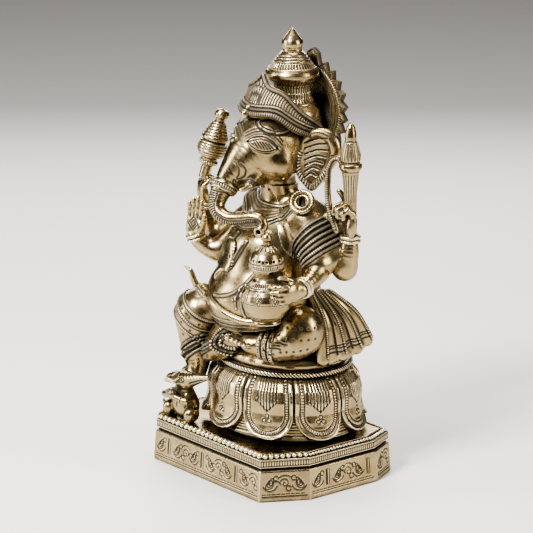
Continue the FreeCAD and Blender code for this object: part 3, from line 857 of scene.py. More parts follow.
def build_lotus():
    """The oval lotus pedestal between the plinth and the seat."""
    profile = [(0, -74), (52, -74), (54, -73), (55, -71), (54.4, -69.4), (52.8, -68), (52, -65), (53.2, -60),
               (55.5, -50), (57.5, -40), (57.2, -30), (54.5, -22), (50, -15), (0, -15)]
    turned("lotus_pedestal_cast", profile, (0, 0), ["lotus_pedestal"], lotus_relief, wide=OVAL, step=0.6,
           turns=int(760 / COARSE), level=True)


def build_seat():
    """The rope-edged ring and the smooth, hand-finished seat slab over it."""
    def ring_relief(angle, run, r, z):
        rope = lines(angle * 53 + (z + 12) * 1.1, 2.9, 1.1) * band(z, -14.8, -11.2)
        foot = rings_at(z, (-10.9, 1.0), (-15.0, 1.0))
        return 0.7 * band(z, -14.8, -11.2) - 0.8 * rope, np.clip(rope + foot, 0, 1)

    turned("seat_ring_cast", [(0, -15.6), (50, -15.6), (53.4, -14.6), (54.2, -12.9), (53.4, -11),
                              (50.8, -9.9), (0, -9.9)], (0, 0), ["seat_ring"], ring_relief, wide=OVAL)

    def slab_relief(angle, run, r, z):
        wave = 0.7 * np.sin(5 * angle + 1) + 0.5 * np.sin(11 * angle) + 0.3 * np.sin(23 * angle + 2)
        return wave * band(z, -8, -1, 3), line_at(z, -9.6, 1.2)

    turned("seat_slab_cast", [(0, -9.9), (49.5, -9.9), (50.6, -8.4), (50.9, -6.2), (50.2, -3.4),
                              (48.4, -1.2), (45, -0.1), (0, 0)], (0, 0), ["seat_slab"], slab_relief,
           wide=OVAL, round_off=1.2)


def build_fixings():
    """The steel tie bolt with its thread, and the nut and washer inside the plinth."""
    low, high = (corner[2] for corner in span("tie_bolt"))

    def thread(angle, run, r, z):
        return -0.35 * lines(z - 1.25 * angle / TURN, 1.25, 0.6) * band(z, low + 1, low + 30), 0

    turned("tie_bolt_rod", [(0, low), (3.3, low), (3.95, low + 0.8), (3.95, high - 0.8), (3.3, high),
                            (0, high)], (0, 0), ["tie_bolt"], thread, step=0.3, round_off=0.3,
           slot="fixing_steel")
    low, high = (corner[2] for corner in span("tie_nut_and_washer"))
    washer = high - 2.0
    angle = np.linspace(0, TURN, 180, endpoint=False)
    hexagon = 6.5 / np.cos(angle % (math.pi / 3) - math.pi / 6)
    bore, disc = np.full(180, 4.05), np.full(180, 11.0)
    outline = [(bore, low), (hexagon - 0.6, low), (hexagon, low + 0.6), (hexagon, washer),
               (disc - 0.3, washer), (disc, washer + 0.3), (disc, high - 0.3), (disc - 0.3, high),
               (bore, high), (bore, low)]
    rows = np.array([np.stack([r * np.cos(angle), r * np.sin(angle), np.full(180, z)], -1)
                     for r, z in outline])
    grid_piece("tie_nut_and_washer_steel", rows, np.zeros(rows.shape[:2]), ["tie_nut_and_washer"],
               caps=(False, False), slot="fixing_steel")


# ---- crown, halo, pot and attributes ------------------------------------------------------------------
CROWN = middle("crown_tier")[:2]        # the vertical axis of each turned piece
POT = middle("pot_lid")[:2]
MACE = middle("mace")
LEAN, LEAN_X, LEAN_Y = math.radians(16), 0.629, 0.777   # the mace's tilt, and its direction on plan
MACE_LEAN = np.array([LEAN_X * math.sin(LEAN), LEAN_Y * math.sin(LEAN), math.cos(LEAN)])
GOAD = middle("goad")[:2]
HALO = np.array([middle("halo_screw")[0], span("halo")[0][1], middle("halo_screw")[2]])


def build_crown():
    """Turned crown: engraved cap, waisted tier and bud finial."""
    def cap_relief(angle, run, r, z):
        rings = rings_at(z, (198.5, 0.8), (200.6, 0.6), (211.5, 0.7))
        arcs = rings_at(wave_of(angle, 6) * 22 + (z - 201.5) * 0.9, (6.0, 0.8), (3.6, 0.7))
        arcs = arcs * band(z, 201.5, 211)
        neck = lines(angle * 17, 2.6, 1.0) * band(z, 213.5, 222)
        return engraved(rings + arcs + neck, 0.55)

    turned("crown_cap_cast", [(0, 184), (25, 184), (25.8, 190), (25.4, 198), (23.6, 206), (19.8, 212.5),
                              (16.6, 217), (16.2, 222), (0, 222)], CROWN, ["crown_cap"], cap_relief)

    def tier_relief(angle, run, r, z):
        neck = lines(angle * 17, 2.6, 1.0) * band(z, 221.5, 228)
        under = lines(angle * 21, 3.0, 1.1) * band(z, 229, 233)
        step = lines(angle * 21, 3.0, 1.1) * band(z, 243.2, 247.2)
        rings = rings_at(z, (228.6, 0.7), (242.4, 0.8), (248.2, 0.8), (250.4, 0.9), (252.6, 0.9))
        return engraved(neck + under + step + rings)

    turned("crown_tier_cast", [(0, 221.6), (15.6, 221.6), (15.8, 226), (17.5, 229), (21.2, 232.2),
                               (23.1, 235.4), (23.2, 238.2), (22.0, 240.6), (21.0, 241.6), (21.2, 242.6),
                               (19.6, 243.2), (16.4, 247.6), (15.9, 248.4), (15.2, 249), (10.6, 254.6),
                               (9.2, 256), (0, 256)], CROWN, ["crown_tier"], tier_relief, step=0.4,
           round_off=0.5)
    turned("crown_finial_cast", [(0, 255.6), (8.0, 255.6), (8.2, 257.2), (7.9, 258.4), (8.9, 260.6),
                                 (9.2, 263.2), (8.4, 266), (5.8, 269.8), (3.0, 273.2), (1.1, 275.6),
                                 (0, 275.8)], CROWN, ["crown_finial"], step=0.4)


def build_halo():
    """Toothed sun disc, dished in front, with engraved rings, rays and a loop on top."""
    teeth = 24
    m = int(960 / COARSE)
    angle = np.linspace(0, TURN, m, endpoint=False)[None, :]
    tooth_root = 38.4
    rim = tooth_root + 5.6 * (1 - wave_of(angle, teeth) * 2)
    loop = np.clip(1 - np.abs(angle - math.pi / 2) / 0.20, 0, 1)
    rim = rim + 12.5 * loop ** 1.1
    front = np.linspace(0.004, 1, int(96 / COARSE))[:, None]
    r = front * rim
    dish = np.where(r < 33, 3.4 * (1 - (r / 33) ** 2), 0)
    ridge = np.clip(1 - np.abs(r - 34.2) / 1.3, 0, 1) + 0.8 * np.clip(1 - np.abs(r - 30.0) / 1.0, 0, 1)
    tooth_edge = np.clip(1 - np.abs(rim - r - 0.9) / 0.9, 0, 1) * (r > 37)
    marks = (lines(angle * 36, 2.1, 0.8) * band(r, 35.6, 38.2) + lines(angle * 24, 3.0, 0.8) * band(r, 10, 21)
             + rings_at(r, (32.2, 0.8), (28.0, 0.8), (25.4, 0.7), (22.5, 0.7))
             + (r > 37.6) * line_at(rim - r, 2.6, 0.9))
    marks = np.clip(marks, 0, 1) * (r > 0.05 * tooth_root)
    y_front = dish - 0.8 * ridge - 0.6 * tooth_edge + 0.5 * marks
    y_back = np.full_like(r, 4.0) - 0.7 * np.clip(1 - np.abs(r - 34) / 1.5, 0, 1)
    radius = np.concatenate([r, r[::-1]])
    depth = np.concatenate([y_front, y_back[::-1]])
    ink = np.concatenate([marks, 0.25 * np.ones_like(r)])
    rows = np.stack([HALO[0] + radius * np.cos(angle), HALO[1] + depth, HALO[2] + radius * np.sin(angle)], -1)
    grid_piece("halo_disc_cast", rows, ink, ["halo"])
    build_halo_screw()


def build_halo_screw():
    """The round screw head behind the halo, turned upright and then laid along Y, with a driver slot."""
    turned("halo_screw_head", [(0, 33.9), (5.4, 33.9), (5.6, 34.8), (5.0, 36.2), (3.4, 36.9), (0, 37.0)],
           (0, 0), ["halo_screw"], turns=64, slot="fixing_brass")
    mesh = bpy.data.objects["halo_screw_head"].data
    points = np.empty(len(mesh.vertices) * 3)
    mesh.vertices.foreach_get("co", points)
    x, y, z = ((points.reshape(-1, 3) - SEAT) / MM).T
    y, z = z, HALO[2] - y
    y[(np.abs(z - HALO[2]) < 0.7) & (y > 36.0)] -= 1.0
    mesh.vertices.foreach_set("co", place(np.stack([x, y, z], 1)).astype(np.float32).ravel())
    mesh.update()


def build_pot():
    """Turned pot with diamond leaves, and its pierced lid with a knob."""
    def body_relief(angle, run, r, z):
        u = wave_of(angle, 9)
        diamond = u * 26 + np.abs(z - 65.5) * 0.9
        leaf = rings_at(diamond, (7.2, 1.2), (4.2, 1.0)) * band(z, 60.8, 71.2)
        veins = lines(u * 14 + z * 0.8, 2.4, 0.7) * band(diamond, -1, 3.8) * band(z, 60.8, 71)
        rings = rings_at(z, (60.0, 0.8), (71.8, 0.8), (73.4, 0.6), (81.2, 0.7), (43.6, 0.9))
        hatch = lines(angle * 14, 2.0, 0.8) * band(z, 74, 77)
        return engraved(leaf + veins + rings + hatch)

    turned("pot_body_cast", [(0, 40), (12.2, 40), (12.8, 41.2), (12.2, 43.2), (12.6, 44.2), (16.6, 48.2),
                             (19.2, 52.8), (20.5, 57.6), (20.6, 58.8), (21.5, 59.6), (21.6, 62.5),
                             (20.6, 67.5), (17.2, 72.4), (12.6, 76.6), (10.4, 79.6), (10.6, 82.2),
                             (12.4, 85.4), (13.8, 88.2), (0, 88.4)], POT, ["pot_body"], body_relief,
           step=0.4, round_off=0.5)

    def lid_relief(angle, run, r, z):
        slots = lines(angle * 14, 1.9, 0.8) * band(z, 89.9, 92.3)
        u = wave_of(angle, 14) * TURN * 13.6 / 14
        # the holes are shallow dents inked dark, painted shade standing in for openings
        holes = np.clip((1.25 - np.hypot(u, z - 96.3)) / 0.4 + 0.5, 0, 1)
        flutes = lines(angle * 6, 3.0, 1.0) * band(z, 103.8, 107)
        rings = rings_at(z, (93.2, 0.7), (89.2, 0.6), (107.8, 0.8))
        mark = np.clip(slots + rings + flutes, 0, 1)
        return -0.5 * mark - 1.7 * holes, np.clip(0.9 * mark + holes, 0, 1)

    turned("pot_lid_cast", [(0, 88.0), (14.2, 88.0), (14.8, 88.8), (14.9, 92.6), (14.4, 93.6), (14.6, 94.6),
                            (13.8, 97.6), (11.6, 101.4), (8.6, 104.6), (5.6, 106.8), (3.6, 107.6),
                            (2.8, 109), (3.1, 110.6), (4.6, 112.6), (4.7, 114.8), (3.4, 117.2), (1.4, 118.4),
                            (0, 118.6)], POT, ["pot_lid"], lid_relief, step=0.35, round_off=0.4)


def build_mace_and_goad():
    """The leaning mace and the fluted goad, both turned."""
    def stacked(angle, run, r, z):
        ring = lines(z, 2.6, 0.8) * (band(z, 156, 169) + band(z, 172, 186))
        return engraved(ring + lines(angle * 9, 2.4, 0.8) * band(z, 147, 151))

    turned("mace_cast", [(0, 134), (4.6, 134), (4.8, 146), (6.4, 147), (8.6, 148.4), (8.8, 150.2),
                         (7.0, 151.6), (7.6, 153.2), (11.0, 155.6), (12.9, 159.6), (13.0, 164),
                         (11.8, 167.8), (9.6, 169.2), (11.8, 170.4), (12.0, 172.2), (10.4, 175.4),
                         (8.2, 180.6), (6.2, 185.6), (4.0, 187.2), (4.2, 188.8), (6.2, 190.8), (6.6, 193.6),
                         (5.0, 196.8), (0, 198)], MACE[:2], ["mace"], stacked, step=0.4, round_off=0.4,
           lean=(MACE, MACE_LEAN))

    def stem(angle, run, r, z):
        flute = lines(angle * 6.2, 2.2, 0.8) * (band(z, 140, 163) + band(z, 175, 190))
        return engraved(flute + rings_at(z, (173.4, 0.7), (165.4, 0.7), (191, 0.7)), 0.45)

    turned("goad_cast", [(0, 128), (5.4, 128), (5.6, 146), (6.6, 158), (7.4, 164.6), (8.8, 166.4),
                         (9.9, 168.8), (9.6, 171.6), (7.6, 173.4), (8.6, 175.4), (8.8, 178.6), (7.4, 184.4),
                         (5.8, 190), (4.6, 192), (5.0, 194.6), (4.6, 198), (3.6, 203), (1.8, 206.2),
                         (0, 207)], GOAD, ["goad"], stem, step=0.4, round_off=0.5)


# ---- figure -------------------------------------------------------------------------------------------
TORSO_FORMS = [(egg((0, -23, 47), (50, 49.5, 39)), 1), (egg((0, -6, 16), (49, 41, 24)), 12),
               (egg((0, -17, 84), (38, 39, 34)), 14), (egg((0, -9, 104), (33, 26, 20)), 8),
               (bone((-31, -3, 116), (31, -3, 117), 15, 15), 12),
               (bone((0, -4, 118), (-1, -8, 154), 16, 15), 8)]


def torso_clay(low, high, voxel):
    """A block holding the bare torso."""
    clay = Clay(low, high, voxel)
    for form, k in TORSO_FORMS:
        clay.add(form, k=k)
    return clay


def girdle(clay, marks, centre=(0.0, -22.0), reach=66.0):
    """Points on the torso from (bearing, height) pairs: bearing 0 is the front, 90 the figure's left."""
    out = []
    for bearing, z in marks:
        b = math.radians(bearing)
        way = np.array([-math.sin(b), math.cos(b), 0.0])
        p = np.array([centre[0], centre[1], z]) - way * reach
        for _ in range(160):
            if clay.sample(clay.d, p[None])[0] <= 0.15:
                break
            p = p + way * 0.4
        out.append(p)
    return out


def collar(clay):
    """Pleats that sag from the right shoulder and gather at the brooch, over a beaded hem."""
    heart = np.array([0.0, -6.0, 112.0])     # rays from here meet the shoulders and the chest once

    def swag(middle_rise):
        """A line on the chest: it ends at the shoulders and passes the front at the given rise in degrees."""
        out = []
        for t in np.linspace(0, 1, 13):
            bearing = math.radians(-95 + 172 * t)
            rise = math.radians(31 + (middle_rise - 31) * math.sin(math.pi * t) ** 0.8)
            ray = np.array([math.sin(bearing) * math.cos(rise), -math.cos(bearing) * math.cos(rise),
                            math.sin(rise)])
            reach = 58.0
            while reach > 8 and clay.sample(clay.d, (heart + ray * reach)[None])[0] > 0.1:
                reach -= 0.3
            out.append(heart + ray * reach)
        return out

    clay.cord(swag(44), 1.4, pitch=2.0)
    for j in range(4):
        clay.groove(swag(36 - 8.5 * j), 0.9, 0.5, dark=0.7)
    clay.hem(swag(3), swag(-5), 1.2)


def build_torso():
    """Bare torso with its collar, hanging cords, ringed waistband and neck creases."""
    clay = torso_clay((-54, -77, -1), (54, 38, 172), 0.78)
    # the breasts, the cords that fall to the ornament and the pot, and the waistband
    clay.add(egg((12, -36, 96), (13, 8, 10)), egg((-13, -36, 96), (13, 8, 10)), k=7)
    cords = [
        ([(-6, 104), (-12, 96), (-16, 86)], 2.0, 1.9),
        ([(20, 100), (13, 92), (6, 84), (0, 76)], 2.0, 1.9),
        ([(15, 98), (8, 90), (2, 82)], 1.3, None),
        ([(52, 84), (40, 76), (28, 66), (16, 58), (2, 54), (-8, 53)], 1.6, 1.7),
        ([(54, 79), (42, 70), (30, 60), (18, 53)], 1.2, None),
        ([(30, 66), (27, 58), (28, 48), (31, 40)], 1.5, 1.7),
        ([(24, 62), (21, 54), (22, 46)], 1.1, None),
    ]
    for marks, r, pitch in cords:
        clay.cord(girdle(clay, marks), r, pitch=pitch)
    for j in range(3):
        low = 30 + 5 * j
        waist = girdle(clay, [(b, low - 8 * math.cos(math.radians(b + 20))) for b in range(-60, 70, 10)])
        clay.cord(waist, 1.2, pitch=1.9 if j != 1 else None)
    collar(clay)
    for b in (-70, -20, 30):                             # creases in the bare neck
        turn_by = math.radians(b)
        clay.groove([(16 * math.sin(turn_by + s), -5 - 16 * math.cos(turn_by + s), 141 + 3 * s)
                     for s in (-0.3, 0, 0.3)], 1.1, 0.5)
    clay.mesh("torso_cast", ["torso"])


def build_pendant():
    """Leaf-shaped breast ornament with a folded edge and a slotted middle."""
    body = torso_clay((-38, -80, 48), (26, -20, 112), 0.5)
    centre = body.snap(middle("pendant")[None])[0]
    clay = Clay((-34, -80, 52), (20, -26, 110), 0.42)
    normal = body.slope(centre[None])[0]
    up = np.array([0.06, 0, 1.0])
    up = unit(up - normal * up.dot(normal))
    across = np.cross(up, normal)
    rows = np.array([across, up, normal])
    for t in np.linspace(0, 1, 14):
        half = 13.5 * math.sin(math.pi * min(1, 0.16 + 0.62 * t)) * (t ** 0.55 if t < 0.3 else 1)
        c = body.snap([centre + up * (-18 + 34 * t)])[0]
        clay.add(egg(c, (max(half, 1.2), 3.2, 2.9), frame_rows=rows), k=2)

    def leaf(scale):
        """The outline of a pointed leaf, shrunk by scale."""
        return [centre + scale
                * (across * 11.4 * math.sin(t)
                   + up * (15.5 * math.cos(t) - 1.5 - 3 * max(0, -math.cos(t)) ** 3))
                for t in np.radians(np.arange(0, 361, 15))]

    clay.cord(leaf(1.0), 1.3, pitch=1.9)
    clay.groove(leaf(0.74), 1.1, 0.6)
    clay.cord(leaf(0.52), 1.1)
    for side in (-2.0, 2.0):
        clay.groove([centre + across * side + up * 6, centre + across * side - up * 6], 1.3, 0.8)
    clay.mesh("pendant_cast", ["pendant"])


def loop_round(centre, across, along, wide, deep, start, end, tilt=0.0, step=12):
    """Points on an oval round centre, from start to end in degrees, rising by tilt on its along side."""
    return [np.array(centre) + np.array(across) * wide * math.cos(a) + np.array(along) * deep * math.sin(a)
            + np.array([0, 0, tilt * math.cos(a)]) for a in np.radians(np.arange(start, end + 1, step))]


def build_left_leg():
    """Folded left leg in a dotted cloth, with ringed hems at the ankle and the foot forward off the seat."""
    leg = Clay((-4, -76, -1.5), (88, 30, 54), 0.62)
    limb(leg, [(20, 2, 20, 17), (38, -8, 22, 18), (50, -20, 24, 17.5)], k=6)
    leg.add(egg((55, -26, 27), (18.5, 19, 22)), k=6)
    limb(leg, [(53, -35, 18, 15), (45, -43, 14, 12.5), (37, -48, 13, 10.5), (30, -51, 13, 9)], k=6)
    leg.add(bone((30, -51, 13), (23, -57, 14), 8.5, 7.5), egg((20, -57, 14.5), (10.5, 6, 6.0), (0, 4, -8)),
            k=4)
    for i in range(5):
        base = np.array([12.0 + 4.3 * i, -61.5, 17.5 - 0.9 * i])
        tip = base + np.array([-1.6, -9.5 + 0.9 * i, 1.2])
        size = 3.2 if i == 0 else 2.3
        leg.add(bone(base, tip, size, size * 0.9), k=0.5)
        leg.groove([tip + (-1, -1.5, 2), tip + (1, -1.5, 2)], 0.9, 0.5)
    across = np.array([-0.47, 0.88, 0])
    for x, y, r in ((42, -45, 13.2), (37, -47.5, 12.0), (32, -50, 10.8)):
        leg.add(hoop((x, y, 13.0), (-0.88, -0.47, 0), r, 1.9), k=0.5)
        for p in loop_round((x, y, 13.0), across, (0, 0, 1), r + 1.6, r + 1.6, 0, 348):
            leg.dots([p], 0.8, dark=0.9)
    for rise, reach in ((24, 38), (30, 44), (36, 50)):   # folds where the calf meets the thigh
        leg.groove([(reach, -60, rise), (reach + 8, -60, rise - 11), (reach + 16, -56, rise - 15)], 1.3, 0.8)
    for turn_by in range(-60, 61, 20):                   # punched dots scattered over the knee
        for rise in (14, 24, 34):
            a = math.radians(turn_by + rise * 2 - 20)
            leg.dots([(55 + 19 * math.sin(a), -26 - 19 * math.cos(a), rise)], 0.85)
    leg.mesh("left_leg_cast", ["left_leg"])


def build_right_leg():
    """Hanging right leg: stitched bands slant across the thigh and turn into hems round the shin."""
    leg = Clay((-84, -84, -42), (-6, 14, 50), 0.62)
    limb(leg, [(-14, -4, 20, 17), (-30, -20, 24, 19), (-46, -38, 26, 20), (-56, -50, 24, 20.5)], k=6)
    limb(leg, [(-57, -51, 17, 19.5), (-58, -53, 4, 15.5), (-57, -53, -10, 12.5), (-55, -52, -21, 10),
               (-55, -53, -28, 8.2)], k=6)
    leg.add(bone((-55, -55, -30), (-59, -68, -33), 7, 5.0), egg((-60, -72, -34), (7.5, 6.5, 3.4)), k=4)
    for i in range(5):
        x = -54.2 - 3.0 * i
        leg.add(bone((x, -75, -34), (x - 0.4, -80 + 0.6 * i, -35), 2.3 if i == 0 else 1.7, 1.5), k=0.6)
    east, north = (1, 0, 0), (0, 1, 0)
    for z in (36, 24, 12):                               # beaded rows that slant over the thigh and knee
        leg.cord(loop_round((-54, -48, z), east, north, 21, 22, -170, 10, tilt=-17), 1.4, pitch=2.2)
        leg.groove(loop_round((-54, -48, z - 2.6), east, north, 21, 22, -170, 10, tilt=-17), 1.1, 0.6)
        leg.dots(loop_round((-54, -48, z - 7), east, north, 21, 22, -165, 5, tilt=-17, step=24), 0.9)
    for z in (-4, -13):                                  # hems of the cloth round the shin
        upper = loop_round((-57, -52, z), east, north, 16, 16, -190, 60, tilt=13)
        lower = loop_round((-57, -52, z - 5), east, north, 15, 15, -190, 60, tilt=13)
        leg.hem(upper, lower, 1.5)
    leg.mesh("right_leg_cast", ["right_leg"])


def build_lap_drape():
    """Pleated lower garment spilling over the seat's edge between the legs, with stitched hems."""
    clay = Clay((-48, -76, -24), (16, -34, 26), 0.55)
    for i in range(9):
        t = i / 8
        top = np.array([-34 + 34 * t, -44 - 11 * math.sin(math.pi * t), 16])
        mid = np.array([-38 + 30 * t, -52 - 10 * math.sin(math.pi * t), 2])
        low = np.array([-44 + 28 * t, -52 - 7 * math.sin(math.pi * t), -15 + 9 * t])
        limb(clay, [(*top, 5.0), (*mid, 4.4), (*low, 3.6)], k=1.6)
    clay.cord([(-42, -62, -4), (-30, -66, 2), (-18, -70, 9), (-8, -66, 16)], 1.8, pitch=2.0)
    clay.cord([(-44, -60, -10), (-32, -66, -5), (-20, -70, 1), (-8, -68, 7)], 1.8, pitch=2.0)
    clay.cord([(-44, -60, -7), (-31, -66, -2), (-19, -70, 5), (-8, -68, 11)], 1.2)
    for radius in (15.0, 11.0, 7.0):                     # nested hems round the hollow beside the foot
        ring = [(-4 + radius * math.cos(a), -68, 9 + radius * 0.9 * math.sin(a))
                for a in np.radians(range(80, 291, 14))]
        clay.cord(ring, 1.6, pitch=1.9 if radius != 11.0 else None, toward=(0, 1, 0))
    clay.mesh("lap_drape_cast", ["lap_drape"])


def hand(clay, wrist, up, palm, size=1.0, curls=(20, 20, 20, 20), thumb_side=1, thumb=(0.75, 0.5, 0.25),
         spread=4.0):
    """A hand: up runs to the fingertips, palm is the way the palm faces, curls are degrees per joint."""
    up, palm = unit(up), unit(palm)
    palm = unit(palm - up * up.dot(palm))
    side = np.cross(up, palm) * thumb_side
    wrist = np.array(wrist, float)
    at = lambda u, s, n: wrist + (up * u + side * s + palm * n) * size
    for spot, radii, k in (((8.5, 0, 0), (8.2, 10.5, 4.0), 3), ((6.0, 5.0, 1.8), (3.6, 7.0, 3.4), 2),
                           ((4.5, -4.5, 1.4), (3.0, 6.0, 3.0), 2)):
        clay.add(egg(at(*spot), [r * size for r in radii], frame_rows=(side, up, palm)), k=k)
    for i, length in enumerate((14.5, 16.5, 15.5, 12.5)):
        p = at(15.5 - 0.5 * abs(i - 1.2), 5.6 - 3.75 * i, 0)
        lean = math.radians(spread * (1.5 - i))
        bend = 0.0
        for j, share in enumerate((0.42, 0.32, 0.26)):
            bend += math.radians(curls[i]) * (0.7 if j == 0 else 1.0)
            way = (up * math.cos(lean) + side * math.sin(lean)) * math.cos(bend) + palm * math.sin(bend)
            q = p + way * length * share * size
            r = (2.25 - 0.18 * j) * size
            clay.add(bone(p, q, r, r - 0.15), k=0.9 if j else 1.6)
            p = q
    p = at(5.5, 7.0, 1.5)
    way = unit(up * thumb[0] + side * thumb[1] + palm * thumb[2])
    q = p + way * 8.0 * size
    clay.add(bone(p, q, 2.9 * size, 2.4 * size), k=1.5)
    way = unit(way + up * 0.35 - side * 0.25)
    clay.add(bone(q, q + way * 5.5 * size, 2.4 * size, 1.9 * size), k=0.8)
    return at


def build_arms():
    """Two raised arms at the rear, one held out at the front left, and the open palm at the front right."""
    rear_left = Clay((22, -14, 64), (100, 30, 164), 0.6)
    limb(rear_left, [(30, 4, 117, 13), (46, 5, 104, 11.8), (62, 6, 90, 10.8), (72, 6, 81, 10)], k=5)
    limb(rear_left, [(73, 6, 80, 9.8), (76, 7, 92, 9), (77, 7.5, 101, 7.6), (77, 8, 110, 6.2)], k=5)
    at = hand(rear_left, (77, 8, 110), (0, 0, 1), (-0.35, -0.94, 0), 1.30, curls=(14, 62, 66, 70),
                  thumb_side=-1, thumb=(0.35, 0.25, 0.9))
    rear_left.groove([at(3, 3, 5), at(9, 2, 5), at(13, 5, 5)], 0.9, 0.5)
    rear_left.mesh("rear_left_arm_cast", ["rear_left_arm"])

    rear_right = Clay((-98, -46, 64), (-22, 18, 164), 0.6)
    limb(rear_right, [(-30, 2, 117, 13), (-44, -5, 104, 11.5), (-58, -13, 91, 10.6), (-68, -19, 83, 10)], k=5)
    limb(rear_right, [(-69, -19, 82, 9.8), (-73, -22, 94, 8.6), (-76, -25, 108, 6.2), (-77, -26, 116, 5.8)],
         k=5)
    hand(rear_right, (-77, -30, 116), (0, 0, 1), (0.3, 0.95, 0), 1.0, curls=(45, 60, 62, 64), thumb_side=1,
         thumb=(0.8, 0.3, 0.6))
    rear_right.mesh("rear_right_arm_cast", ["rear_right_arm"])

    front_left = Clay((26, -84, 50), (98, 10, 130), 0.55)
    limb(front_left, [(34, -4, 112, 12), (48, -8, 97, 11.5), (58, -12, 85, 10.5), (62, -15, 80, 10)], k=5)
    limb(front_left, [(62, -16, 79, 9.8), (67, -26, 75, 9), (71, -36, 72, 7.4), (73, -42, 70, 6.4)], k=5)
    hand(front_left, (73, -42, 70), (0.1, -0.99, -0.05), (-1, -0.1, 0), 1.08, curls=(30, 33, 36, 38),
         thumb_side=-1, thumb=(0.8, 0.5, 0.35), spread=3.0)
    front_left.mesh("front_left_arm_cast", ["front_left_arm"])

    front_right = Clay((-88, -64, 58), (-24, 6, 136), 0.55)
    limb(front_right, [(-30, -8, 108, 12), (-42, -17, 93, 11), (-54, -29, 76, 10)], k=5)
    limb(front_right, [(-54, -29, 76, 9.8), (-60, -36, 78, 8.8), (-65, -43, 84, 7.2), (-67, -46, 89, 6.2)],
         k=5)
    at = hand(front_right, (-67, -46, 90), (0.02, 0.04, 1), (0.35, -0.94, 0), 1.04, curls=(2, 2, 3, 4),
                  thumb_side=1, thumb=(0.85, 0.35, 0.15), spread=1.0)
    for size in (1.0, 0.5):                              # the diamond engraved in the open palm
        corners = [at(10 + 6 * size * math.cos(a), 5 * size * math.sin(a), 4.2)
                   for a in np.linspace(0, TURN, 5)]
        front_right.groove(corners, 0.9, 0.5, smooth=False)
    for s in (-3.6, -0.2, 3.4):
        front_right.groove([at(15.4, s, 2.6), at(17.8, s, 2.4)], 0.8, 0.5)
    front_right.mesh("front_right_arm_cast", ["front_right_arm"])


def build_bangles():
    """Paired wrist bangles: on each wrist two beaded rings side by side."""
    wrists = [((77, 8, 107), (0, 0, 1), 7.6), ((-76.5, -25.6, 112), (0.05, 0.05, 1), 7.2),
              ((-66.5, -45.4, 88.5), (-0.2, -0.25, 1), 7.2), ((72, -39.5, 71), (0.25, -0.93, -0.25), 8.0)]
    m, k = 120, 12                                       # points round the wrist and round the tube
    a = np.linspace(0, TURN, m, endpoint=False)[:, None]
    b = np.linspace(0, TURN, k, endpoint=False)[None, :]
    tube = 1.5 + 0.14 * np.cos(36 * a)
    index = np.arange(m * k).reshape(m, k)
    ahead = np.roll(index, -1, 0)
    faces = np.stack([index, ahead, np.roll(ahead, -1, 1), np.roll(index, -1, 1)], -1).reshape(-1, 4)
    points, quads = [], []
    for centre, normal, radius in wrists:
        n = unit(normal)
        u = unit(np.cross(n, (0.3, 1, 0.2)))
        v = np.cross(n, u)
        for offset in (-2.1, 1.5):
            outward = u * np.cos(a)[..., None] + v * np.sin(a)[..., None]
            ring = (np.array(centre) + n * offset + outward * (radius + tube * np.cos(b))[..., None]
                    + n * (tube * np.sin(b))[..., None])
            quads.append(faces + m * k * len(points))
            points.append(ring.reshape(-1, 3))
    points = np.vstack(points)
    make_piece("bangles_cast", points, np.vstack(quads), np.zeros(len(points)), ["bangles"])


